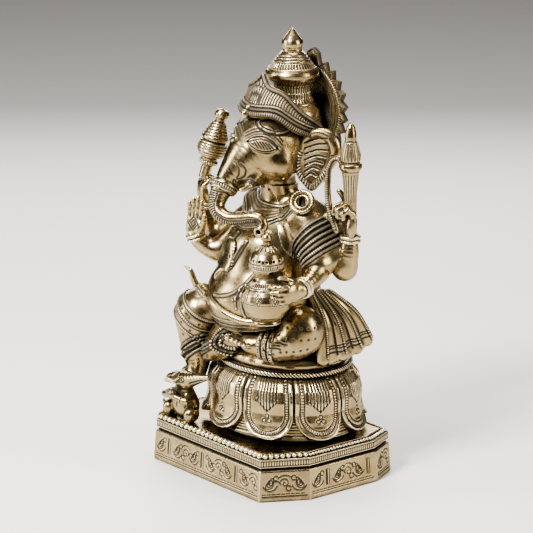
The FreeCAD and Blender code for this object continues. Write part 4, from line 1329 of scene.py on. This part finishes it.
def build_head():
    """Head, cheeks and root of the trunk, with eyes, temple panels and leaf scrolls."""
    clay = Clay((-46, -78, 134), (42, 34, 222), 0.6)
    clay.add(egg((0, -3, 181), (30, 29, 25)))
    clay.add(egg((15, -18, 166), (16, 18, 17)), egg((-15, -18, 166), (16, 18, 17)), k=7)
    clay.add(egg((11, -26, 189), (14, 13, 14)), egg((-12, -26, 189), (14, 13, 14)), k=8)
    limb(clay, [(-1, -22, 180, 25), (-4, -34, 171, 20.5), (-7, -46, 160, 14.8), (-9.5, -54, 152, 10.6)], k=9)
    clay.add(bone((-2, -26, 152), (-5, -44, 147), 9, 6.5), k=6)
    clay.add(bone((8, -40, 155), (9.5, -47, 149), 5.4, 3.8),
             bone((-20, -40, 155), (-25, -47, 149), 5.4, 3.8), k=5)
    # on each side an eye with arched lids and lashes, two brow lines, and an almond panel on the temple
    for side in (1, -1):
        eye = np.array([19.0 * side, -40.0, 184.0])
        look = np.array([0.74 * side, -0.66, 0.1])
        u = unit((0.62 * side, 0.70, -0.20))
        v = np.cross(look, u)
        v *= np.sign(v[2]) / np.linalg.norm(v)

        def curve(half, rise, lift=0.0):
            """An arch over the eye, half wide on each side and rise high in the middle."""
            return [eye + u * w + v * (lift + rise * (1 - (w / half) ** 2))
                    for w in np.linspace(-half, half, 9)]

        def almond(wide, high):
            """A pointed oval on the temple, above the eye."""
            return [eye + v * 17 + u * (6 + wide * math.cos(a)) + v * high * math.sin(a)
                    for a in np.linspace(0, TURN, 25)]

        clay.add(egg(eye, (12.5, 6.0, 4.0), frame_rows=(u, v, look)), k=3)
        clay.cord(curve(14.5, 8.0), 1.15, toward=-look)
        clay.groove(curve(13.0, 5.2), 1.2, 0.8, toward=-look)
        clay.groove(curve(13.0, -4.8), 1.4, 0.9, toward=-look)
        for lift in (3.4, 6.2):
            clay.groove(curve(16.0, 8.0, lift), 1.1, 0.6, toward=-look)
        for j in range(6):                               # strokes that fan under the lid
            start = eye + u * (2.7 * j - 8.5)
            clay.groove([start + v * 2.8, start + u * 5.5 - v * (2.4 - 0.2 * j)], 0.8, 0.5, toward=-look)
        clay.groove(almond(16, 7.0), 1.2, 0.7, toward=-look)
        clay.cord(almond(13, 4.8), 1.1, toward=-look)
        # leaf scroll on the trunk's root, and the folds at the mouth's corner
        leaf = np.array([-7 + 8 * side, -56.0, 160.0])
        to = np.array([0.74 * side, -0.60, 0.25])
        strokes = [[(1, 2, -6), (4, 2, 1), (2, 1, 7), (0, 0, 9)],
                   [(2, 2, -6), (8, 4, -3), (9, 5, 3), (5, 3, 8)]]
        strokes += [[(3 + j, 3, -10 + 1.2 * j), (9 + j, 8, -9 + 1.6 * j), (15, 14, -13 + 1.5 * j)]
                    for j in range(3)]
        curl = [(-1 + 2 * math.cos(a), 1, -9 + 2 * math.sin(a)) for a in np.linspace(0, 5, 9)]
        for stroke, width in [(stroke, 0.9) for stroke in strokes] + [(curl, 0.8)]:
            clay.groove([leaf + np.array([x * side, y, z]) for x, y, z in stroke], width, 0.5, toward=-to)
    clay.mesh("head_cast", ["head"])


TRUNK_PATH = [(-10, -58, 147, 10.2), (-10.5, -63, 140, 8.6), (-9.5, -67, 132, 7.2), (-5, -68, 125.5, 6.6),
              (3, -65, 122, 6.0), (12, -60, 122.5, 5.6), (21, -55, 124.5, 5.3), (28, -51, 124, 5.1),
              (32, -50, 119.5, 4.8), (31.5, -52.5, 114.5, 4.5)]


BAND_CENTRE, BAND_R = np.array([-10.0, -59.5, 145.0]), 11.0


def build_trunk():
    """The trunk that turns to the left hand, with rings engraved along its face."""
    clay = Clay((-26, -80, 104), (44, -40, 158), 0.48)
    limb(clay, TRUNK_PATH, k=4)
    path = smooth_path(TRUNK_PATH, 1.9)[4:-4]
    ahead = np.gradient(path[:, :3], axis=0)
    ahead /= np.linalg.norm(ahead, axis=1, keepdims=True)
    low = np.cross(ahead, np.array([0.77, -0.6, 0.1]))
    low /= np.linalg.norm(low, axis=1, keepdims=True)
    low *= np.sign((low * (-0.5, -0.2, -1.0)).sum(1, keepdims=True))
    face = np.cross(low, ahead)
    face *= np.sign((face * (0.77, -0.6, 0.1)).sum(1, keepdims=True))
    for (*c, r), f, g in zip(path, face, low):
        rim = [c + r * (f * math.cos(a) + g * math.sin(a)) for a in np.radians((22, 40, 58, 76, 94))]
        clay.groove(rim, 0.8, 0.45, smooth=False)
    edge = [c + r * (f * 0.95 + g * 0.25) for (*c, r), f, g in zip(path, face, low)]
    clay.groove(edge, 0.9, 0.5)
    tip = np.array(TRUNK_PATH[-1][:3])
    clay.add(hoop(tip + np.array([1.2, -2.6, -0.6]), (0.5, -0.85, -0.1), 3.3, 1.3), k=1.0)
    clay.cut(bone(tip + np.array([2.8, -6, -1]), tip + np.array([0.3, -0.5, 0]), 2.2, 1.8), k=0.5)
    clay.mesh("trunk_cast", ["trunk"])
    band_clay = Clay((-26, -80, 128), (8, -42, 158), 0.42)
    normal = (0.02, -0.55, -0.83)
    for offset, tube in ((-2.3, 1.3), (0, 1.7), (2.3, 1.3)):
        centre = BAND_CENTRE + np.array(normal) * offset
        band_clay.add(hoop(centre, normal, BAND_R - 0.25 * offset, tube), k=0.4)
    n = unit(normal)
    u = np.cross(n, (1, 0, 0))
    v = np.cross(n, u)
    for p in ring_points(BAND_CENTRE, u, v, BAND_R + 1.6, 34, TURN * 33 / 34):
        band_clay.groove([p - n * 1.0, p + n * 1.0], 1.0, 0.7, smooth=False, snapped=True)
    band_clay.mesh("trunk_band_cast", ["trunk_band"])


def build_tusks():
    """The two short tusks beside the trunk."""
    clay = Clay((-40, -72, 132), (24, -36, 160), 0.4)
    limb(clay, [(8, -42, 152, 3.6), (9.5, -48, 148, 3.0), (9.5, -53, 146, 2.0), (9, -55.5, 146, 1.2)], k=1)
    limb(clay, [(-22, -42, 152, 3.6), (-26, -48, 148, 3.0), (-27, -51, 147, 2.6)], k=1)
    clay.mesh("tusks_cast", ["tusks"])


def build_ears():
    """Leaf-shaped ears, cupped, with a rolled edge and ribs that spread from the root."""
    for side, name in ((1, "left"), (-1, "right")):
        clay = Clay((16 if side > 0 else -64, -18, 130), (64 if side > 0 else -16, 34, 206), 0.45)
        out = np.array([0.82 * side, 0.57, 0.0])
        face = np.array([0.55 * side, -0.83, 0.0])
        root = np.array([27.0 * side, -5.0, 141.0])
        at = lambda reach, rise, lift=0.0: root + out * reach + np.array([0, 0, rise]) + face * lift
        outline = [(3, 40, 2), (6, 47, 2), (15, 52, 1), (25, 49, 0), (30.5, 41, 1), (30, 31, 2), (25, 21, 3),
                   (18, 11, 3), (11, 4, 3), (5, 9, 3), (0.5, 15, 3), (-1, 27, 3), (3, 40, 2)]
        rim = smooth_path([at(*o) for o in outline], 1.5)
        for spot, size in (((12, 33, -4.0), (14, 17, 4.5)), ((15, 20, -2.5), (11, 13, 4.0))):
            clay.add(egg(at(*spot), size, frame_rows=(out, (0, 0, 1), face)), k=1.5)
        for p in rim[::2]:
            clay.add(bone(at(14, 30, -4.0), p, 3.6, 2.2), k=1.5)
        radius = [2.6 + 2.8 * math.exp(-((i / len(rim) - 0.27) / 0.13) ** 2) for i in range(len(rim))]
        for (p, q), r in zip(zip(rim, rim[1:]), radius):
            clay.add(bone(p, q, r, r), k=1.0)
        for j in range(7):                               # ribs that arch out from the root, darkened by painted shade
            low = 13 + 5.0 * j
            tip = min(25.0, 15 + 2.6 * j)
            clay.groove([at(5, low), at(0.5 * (5 + tip), low + 3.5), at(tip, low + 1.5 + 0.6 * j)], 1.4, 1.0,
                        toward=-face)
        for i in range(0, len(rim) - 1, 2):              # ticks across the rolled edge, below the flap
            inward = unit(at(14, 30) - rim[i])
            if rim[i][2] < 176:
                p = rim[i] + face * 3.0
                clay.groove([p - inward * 1.5, p + inward * 2.0], 1.0, 0.6, toward=-face, smooth=False)
        # painted shade in the ear's cup near the root
        clay.shade(at(7, 29, -3), (9, 17, 4.5), frame_rows=(out, (0, 0, 1), face))
        clay.mesh(f"{name}_ear_cast", [f"{name}_ear"])


def build_tiara():
    """Tilted crown band: pointed crest, feathered field and twisted ropes above and below."""
    clay = Clay((-42, -50, 180), (42, 40, 246), 0.6)
    tilt = unit((0.03, 0.42, 0.91))
    centre = np.array([0, -4.0, 199.0])
    along = unit(np.cross(tilt, (1, 0, 0)))
    across = np.cross(along, tilt)

    def point(bearing, rise, radius):
        b = math.radians(bearing)
        turned_by = abs((bearing + 180) % 360 - 180)
        rise = rise + 4.5 * math.exp(-((turned_by - 40) / 22) ** 2)      # the band arches over each eye
        front = along * math.cos(b) * (1 if along[1] < 0 else -1)
        return centre + tilt * rise + (across * math.sin(b) + front) * radius

    def height(bearing):
        b = (bearing + 180) % 360 - 180
        crest = sum(rise * math.exp(-(b / wide) ** 2) for rise, wide in ((8, 14), (3, 5), (10, 60)))
        return 7.5 + crest - 3.0 * (1 - math.cos(math.radians(b))) / 2

    def radius_at(rise):
        return 33.5 - 0.20 * max(rise, -4) + 0.35 * max(rise - 8, 0)

    for bearing in range(0, 360, 3):
        top = height(bearing)
        clay.add(bone(point(bearing, -6, 33.8), point(bearing, top, radius_at(top) - 0.5), 3.0,
                      2.2 if top < 20 else 1.6), k=1.5)
    ring = lambda rise_of, extra: [point(b, rise_of(b), radius_at(rise_of(b)) + extra)
                                   for b in range(-180, 181, 6)]
    for level, r, pitch in ((-6.5, 2.1, 2.3), (-2.6, 1.6, None), (0.6, 1.3, 1.8)):
        clay.cord(ring(lambda b: level, 3), r, pitch=pitch)
    clay.cord(ring(lambda b: height(b) - 0.6, 1), 1.5)
    for b in range(-176, 180, 4):
        top = height(b)
        clay.groove([point(b, 2.4, 40), point(b, top * 0.45 + 1, 40),
                     point(b + (1.5 if b > 0 else -1.5), top - 3.2, 38)],
                    0.9, 0.55, toward=tuple(-(point(b, 0, 40) - point(b, 0, 0))))
    for w, top in ((9, 25), (6, 20), (3, 15)):
        leaf = [point(-w, 4, 40), point(-w * 0.9, top * 0.5, 40), point(0, top, 40),
                point(w * 0.9, top * 0.5, 40), point(w, 4, 40)]
        clay.groove(leaf, 0.9, 0.55, toward=tuple(-(point(0, 0, 40) - point(0, 0, 0))))
    clay.add(egg(point(-2, -8.5, 38.5), (3.2, 3.2, 4.4)), egg(point(-2, -2, 37.5), (2.4, 2.4, 2.4)), k=0.5)
    clay.mesh("tiara_cast", ["crown_band"])


def build_shawl():
    """Cloth over the left shoulder: an edge down from the clasp, and pleats round the upper arm."""
    low, high = (-10, -60, 72), (80, 34, 144)
    cloth = torso_clay(low, high, 0.6)
    limb(cloth, [(34, 2, 117, 13.5), (50, 5, 103, 12.6), (64, 6, 89, 11.6)], k=9)
    limb(cloth, [(34, -4, 113, 13), (48, -8, 98, 12.4), (59, -13, 84, 11.4)], k=9)
    x, y, z = (axis.reshape([-1 if i == j else 1 for j in range(3)]) for i, axis in enumerate(cloth.axes))
    front_edge = 10 - (0.92 * x + 0.10 * y + 0.55 * (z - 128))
    lower_edge = (84 - z) - 0.30 * (x - 44)
    lift = np.clip(-0.2 * front_edge, 0.15, 2.2)         # the cloth thins out towards its front edge
    shell = np.maximum(cloth.d - lift, -(cloth.d + 1.5))
    clay = Clay(low, high, 0.6)
    clay.d = np.maximum(shell, 0.8 * np.maximum(front_edge, lower_edge)).astype(np.float32)
    inward = (-0.77, 0.6, -0.25)

    def pleat(t):
        """A fold from the shoulder's back, over the arm and down to the armpit; t moves it outward."""
        return [(46 + 18 * t, 13, 119 - 17 * t), (43 + 19 * t, -8, 112 - 16 * t),
                (41 + 17 * t, -22, 100 - 12 * t), (44 + 14 * t, -28, 87 - 3 * t)]

    clay.hem(pleat(-0.12), pleat(0.08), 1.3, toward=inward)
    for j in range(5):
        clay.groove(pleat(0.19 + 0.19 * j), 1.0, 0.7, toward=inward)
        clay.cord(pleat(0.28 + 0.19 * j), 1.5, pitch=1.9 if j % 2 else None, toward=inward)
    collar(clay)
    clay.mesh("shoulder_shawl_cast", ["shoulder_shawl"])


def build_clasp():
    """Ring brooch: two round rims on a low dome, about an almond opening with painted shade in it."""
    centre, normal = middle("shawl_clasp"), unit((0.5, -0.6, 0.62))
    clay = Clay(centre - 19, centre + 19, 0.42)
    u = unit(np.cross(normal, (0, 0, 1)))
    v = np.cross(normal, u)
    clay.add(egg(centre, (9.5, 10.5, 2.6), frame_rows=(u, v, normal)))
    for radius, r in ((9.0, 2.0), (5.4, 1.2)):
        loop = ring_points(centre + normal * 2.6, u, v * 1.08, radius, 25)
        for p, q in zip(loop, loop[1:]):
            clay.add(bone(p, q, r, r), k=0.6)
    clay.cut(egg(centre + normal * 3.2, (2.9, 5.0, 5.0), frame_rows=(u, v, normal)), k=0.4)
    # painted shade inside the almond opening
    clay.shade(centre + normal * 0.6, (3.0, 5.1, 3.6), frame_rows=(u, v, normal))
    clay.mesh("shawl_clasp_cast", ["shawl_clasp"])


def build_sash_fan():
    """Pleated cloth end that flares from the left hip, with stitched pleats and an engraved hem."""
    clay = Clay((26, -24, -12), (86, 78, 72), 0.6)
    pleats = 8
    share = np.linspace(0, 1, pleats)
    tops = [np.array([47.5 - 3.5 * t, -13 + 28 * t, 57 - 6 * t]) for t in share]
    hems = [np.array([60 - 11 * t + 8 * math.sin(math.pi * t), -10 + 64 * t, -2 + 7 * t]) for t in share]
    bulge = np.array([0.83, 0.25, 0.5])
    for i, (top, hem) in enumerate(zip(tops, hems)):
        mid = top * 0.5 + hem * 0.5 + bulge * 5.5
        ridge = i % 2 == 0
        push = bulge * (1.8 if ridge else -1.2)
        limb(clay, [(*(top + push * 0.3), 3.0), (*(mid + push), 4.6), (*(hem + push * 1.5), 5.6)], k=1.6)
    for i in range(pleats - 1):
        a, b = (tops[i] + tops[i + 1]) / 2, (hems[i] + hems[i + 1]) / 2
        m = a * 0.5 + b * 0.5 + bulge * 5.5
        limb(clay, [(*a, 2.6), (*m, 3.6), (*b, 4.4)], k=1.6)
    for i, (top, hem) in enumerate(zip(tops, hems)):
        mid = top * 0.5 + hem * 0.5 + bulge * 12
        if i % 2 == 0:
            clay.cord([top + bulge * 5, mid, hem + bulge * 9], 1.4, pitch=1.9)
        else:
            clay.groove([top + bulge * 5, mid, hem + bulge * 9], 1.4, 0.8)
    for lift, width in ((2.5, 1.2), (6.0, 0.9), (8.2, 0.9)):
        clay.groove([h + np.array([0, 0, lift]) + bulge * 8 for h in hems], width, 0.6)
    clay.mesh("sash_fan_cast", ["sash_fan"])


def build_snake():
    """Cobra round the belly: smooth cord, hooded head at the right and curled tail."""
    body = torso_clay((-60, -80, 30), (60, -10, 80), 0.8)
    clay = Clay((-62, -84, 28), (60, -8, 84), 0.5)
    marks = girdle(body, [(-58, 47), (-46, 49), (-34, 51), (-22, 51), (-8, 47), (6, 42), (20, 38), (34, 36),
                          (48, 37)])
    path = smooth_path([(*p, 3.0) for p in marks], 2.0)
    out = body.slope(path[:, :3])
    path[:, :3] += out * 1.5
    for a, b in zip(path, path[1:]):
        clay.add(bone(a[:3], b[:3], 3.0, 3.0), k=0.8)
    head = marks[2] + body.slope(np.array([marks[2]]))[0] * 3.5
    hood = [(0, 0, 0, 6.2), (7.5, -3.0, -1.5, 5.0), (14, -3.5, -4.5, 3.4)]
    tail = [(0, 0, 0, 3.6), (-4, -4, 4, 3.0), (-6, -6, 11, 2.6), (-8, -7, 17, 1.9), (-14, -9, 19, 1.1)]
    hood, tail = ([(*(head + step[:3]), step[3]) for step in steps] for steps in (hood, tail))
    limb(clay, [(*(marks[1] + (0, 0, -1)), 3.4)] + hood, k=2)
    limb(clay, tail, k=1.5)
    clay.groove([head + (-3, -5, 4), head + (3, -7, 3), head + (9, -7, 0)], 0.9, 0.5)
    clay.groove([head + (-3, -6, 0), head + (3, -8, -1), head + (9, -7, -4)], 0.9, 0.5)
    clay.mesh("snake_belt_cast", ["snake_belt"])


def build_noose():
    """Beaded cord from the goad's shoulder to the palm."""
    clay = Clay((54, -22, 104), (86, 16, 186), 0.42)
    route = [(72, 4, 170), (69, 2, 175.5), (64, 0, 174), (61, -2, 167), (60.5, -3, 156), (62, -4, 143),
             (66, -5, 131), (71, -5, 121), (73, -4, 115)]
    path = smooth_path(route, 1.0)
    for a, b in zip(path, path[1:]):
        clay.add(bone(a, b, 2.7, 2.7))
    look = np.array([0.5, -0.85, 0.1])
    clay.cord([p + look * 2.6 for p in path[::4]], 1.4, pitch=2.4, snapped=True)
    clay.mesh("noose_cast", ["noose"])


def build_mouse():
    """Squat mouse with a big leaf-shaped ear, looking up along the pedestal and hugging a sweet."""
    clay = Clay((-100, -90, -78), (-14, -44, -14), 0.48)
    clay.add(egg((-61, -62, -60), (14.5, 10.5, 13)))
    clay.add(egg((-61, -64, -49), (10.5, 8.5, 9)), k=5)
    clay.add(egg((-57, -66, -36), (10.5, 9, 8.5)), k=3)
    limb(clay, [(-52, -67, -35, 8), (-42, -67, -31.5, 6), (-32, -66.5, -28.5, 4), (-25, -66, -26.5, 2.4)],
         k=2)
    clay.add(bone((-64, -65, -36), (-84, -65, -43), 5.0, 2.4),
             bone((-70, -65, -37), (-79, -65, -40), 5.6, 4.2), k=2)
    clay.add(bone((-58, -60, -31), (-66, -58, -30), 4.0, 2.8), k=2)
    clay.cut(egg((-74, -71, -39.5), (8, 3.2, 3.4), (0, -18, 0)), k=0.8)
    for x, out in ((-78, -1), (-48, 1)):
        limb(clay, [(x + 4 * -out, -66, -51, 3.8), (x, -72, -53, 3.2), (-61 + 3 * out, -77, -50, 2.6)], k=1.5)
        clay.add(egg((x, -66, -66), (6.0, 7.5, 7.0)), k=2.5)
        clay.add(egg((x, -72, -71.4), (4.8, 5.8, 2.8)), k=1.5)
        for j in (-1, 0, 1):
            clay.add(bone((x + 2.6 * j, -75.5, -71.6), (x + 3.0 * j, -78, -72.2), 1.4, 1.1), k=0.5)
    limb(clay, [(-72, -54, -68, 3), (-82, -56, -70, 2.3), (-88, -62, -68, 1.8), (-89, -66, -62, 1.3)], k=1)
    eye = [(-51 + 3.2 * math.cos(a), -77, -33.5 + 1.9 * math.sin(a) + 0.5 * math.cos(a))
           for a in np.linspace(0, TURN, 9)]
    clay.groove(eye, 1.0, 0.6, toward=(0, 1, 0))
    clay.dots([(-51, -77, -33.5)], 0.9, toward=(0, 1, 0))
    clay.groove([(-42, -76, -34.5), (-35, -76, -31.5), (-28, -76, -29)], 1.2, 0.8, toward=(0, 1, 0))
    for x in (-70, -61, -52):
        clay.groove([(x, -80, -42), (x + 1.5, -82, -50), (x, -82, -60)], 1.0, 0.5, toward=(0, 1, 0), dark=0.8)
    clay.mesh("mouse_cast", ["mouse"])
    sweet = Clay((-74, -90, -60), (-48, -66, -38), 0.4)
    sweet.add(egg((-61, -77.5, -48), (4.8, 4.6, 4.6)), egg((-61, -77.5, -43.6), (1.6, 1.6, 1.8)), k=1.2)
    for j in range(8):
        c, d = math.cos(TURN * j / 8), math.sin(TURN * j / 8)
        sweet.groove([(-61 + 1.5 * c, -77.5 + 1.5 * d, -43.5), (-61 + 4.6 * c, -77.5 + 4.5 * d, -47)],
                     0.8, 0.4)
    sweet.mesh("mouse_sweet_cast", ["mouse_sweet"])


# ---- stage --------------------------------------------------------------------------------------------
def area_light(name, at, aim, size, power, colour=(1, 1, 1)):
    """A soft rectangular lamp at a place, facing aim."""
    light = bpy.data.lights.new(name, "AREA")
    light.shape = "RECTANGLE"
    light.size, light.size_y = size
    light.energy = power
    light.color = colour
    lamp = bpy.data.objects.new(name, light)
    lamp.location = at
    lamp.rotation_euler = (Vector(aim) - Vector(at)).to_track_quat("-Z", "Y").to_euler()
    bpy.context.scene.collection.objects.link(lamp)


def build_stage():
    """Pale seamless floor and wall, soft lights and the camera at the idol's left front."""
    azimuth, elevation, distance = math.radians(51), math.radians(15.5), 2.6
    side = Vector((math.cos(azimuth), math.sin(azimuth), 0))
    view = Vector((math.sin(azimuth) * math.cos(elevation), -math.cos(azimuth) * math.cos(elevation),
                   math.sin(elevation)))
    aim = Vector((0, 0, 0.180)) - side * 0.002

    mesh = bpy.data.meshes.new("floor")
    s = 4.0
    mesh.from_pydata([(-s, -s, 0), (s, -s, 0), (s, s, 0), (-s, s, 0)], [], [(0, 1, 2, 3)])
    floor = bpy.data.objects.new("floor", mesh)
    floor.location.z = -0.0002
    bpy.context.scene.collection.objects.link(floor)
    floor.data.materials.append(plain_material("pale_floor", (0.80, 0.78, 0.75), 0.55))

    world = bpy.data.worlds.new("studio")
    world.use_nodes = True
    nt = world.node_tree
    room = nt.nodes["Background"]
    coords = nt.nodes.new("ShaderNodeTexCoord")
    height = nt.nodes.new("ShaderNodeSeparateXYZ")
    ramp = nt.nodes.new("ShaderNodeValToRGB")
    for spot, value in zip(ramp.color_ramp.elements, (0.045, 0.44)):
        spot.color = (value, value * 0.98, value * 0.95, 1)
    ramp.color_ramp.elements[0].position = 0.12
    ramp.color_ramp.elements[1].position = 0.85
    nt.links.new(coords.outputs["Generated"], height.inputs[0])
    nt.links.new(height.outputs["Z"], ramp.inputs[0])
    nt.links.new(ramp.outputs[0], room.inputs["Color"])
    room.inputs["Strength"].default_value = 0.46
    wall = nt.nodes.new("ShaderNodeBackground")
    wall.inputs["Color"].default_value = (0.62, 0.61, 0.59, 1)
    wall.inputs["Strength"].default_value = 0.75
    seen = nt.nodes.new("ShaderNodeLightPath")
    either = nt.nodes.new("ShaderNodeMixShader")
    nt.links.new(seen.outputs["Is Camera Ray"], either.inputs[0])
    nt.links.new(room.outputs[0], either.inputs[1])
    nt.links.new(wall.outputs[0], either.inputs[2])
    nt.links.new(either.outputs[0], nt.nodes["World Output"].inputs["Surface"])
    bpy.context.scene.world = world
    bpy.context.scene.view_settings.look = "AgX - High Contrast"

    centre = Vector((0, 0, 0.2))
    area_light("key", centre + view * 1.0 - side * 0.8 + Vector((0, 0, 1.0)), centre, (0.45, 0.45), 40)
    area_light("fill", centre + view * 0.6 + side * 1.3 + Vector((0, 0, 0.35)), centre, (0.45, 0.9), 10,
               (1, 0.93, 0.82))
    area_light("left", centre - side * 1.3 + view * 0.1 + Vector((0, 0, 0.3)), centre, (0.4, 0.9), 9)
    area_light("top", centre + Vector((0, 0.1, 1.4)), centre, (0.6, 0.6), 12)
    area_light("low back", centre - view * 1.2 + Vector((0, 0, 0.75)), Vector((0, 0, 0.05)), (1.4, 0.35), 7)

    cam = bpy.data.cameras.new("camera")
    cam.sensor_width = 36
    cam.lens = 202.8
    cam.clip_end = 50
    camera = bpy.data.objects.new("camera", cam)
    camera.location = aim + view * distance
    camera.rotation_euler = view.to_track_quat("Z", "Y").to_euler()
    bpy.context.scene.collection.objects.link(camera)
    bpy.context.scene.camera = camera


def main():
    """Builds the stage and then every piece."""
    build_stage()
    build_plinth()
    build_bead_border()
    build_lotus()
    build_seat()
    build_fixings()
    build_torso()
    build_pendant()
    build_left_leg()
    build_right_leg()
    build_lap_drape()
    build_arms()
    build_bangles()
    build_head()
    build_trunk()
    build_tusks()
    build_ears()
    build_tiara()
    build_crown()
    build_halo()
    build_pot()
    build_mace_and_goad()
    build_noose()
    build_shawl()
    build_clasp()
    build_sash_fan()
    build_snake()
    build_mouse()


main()
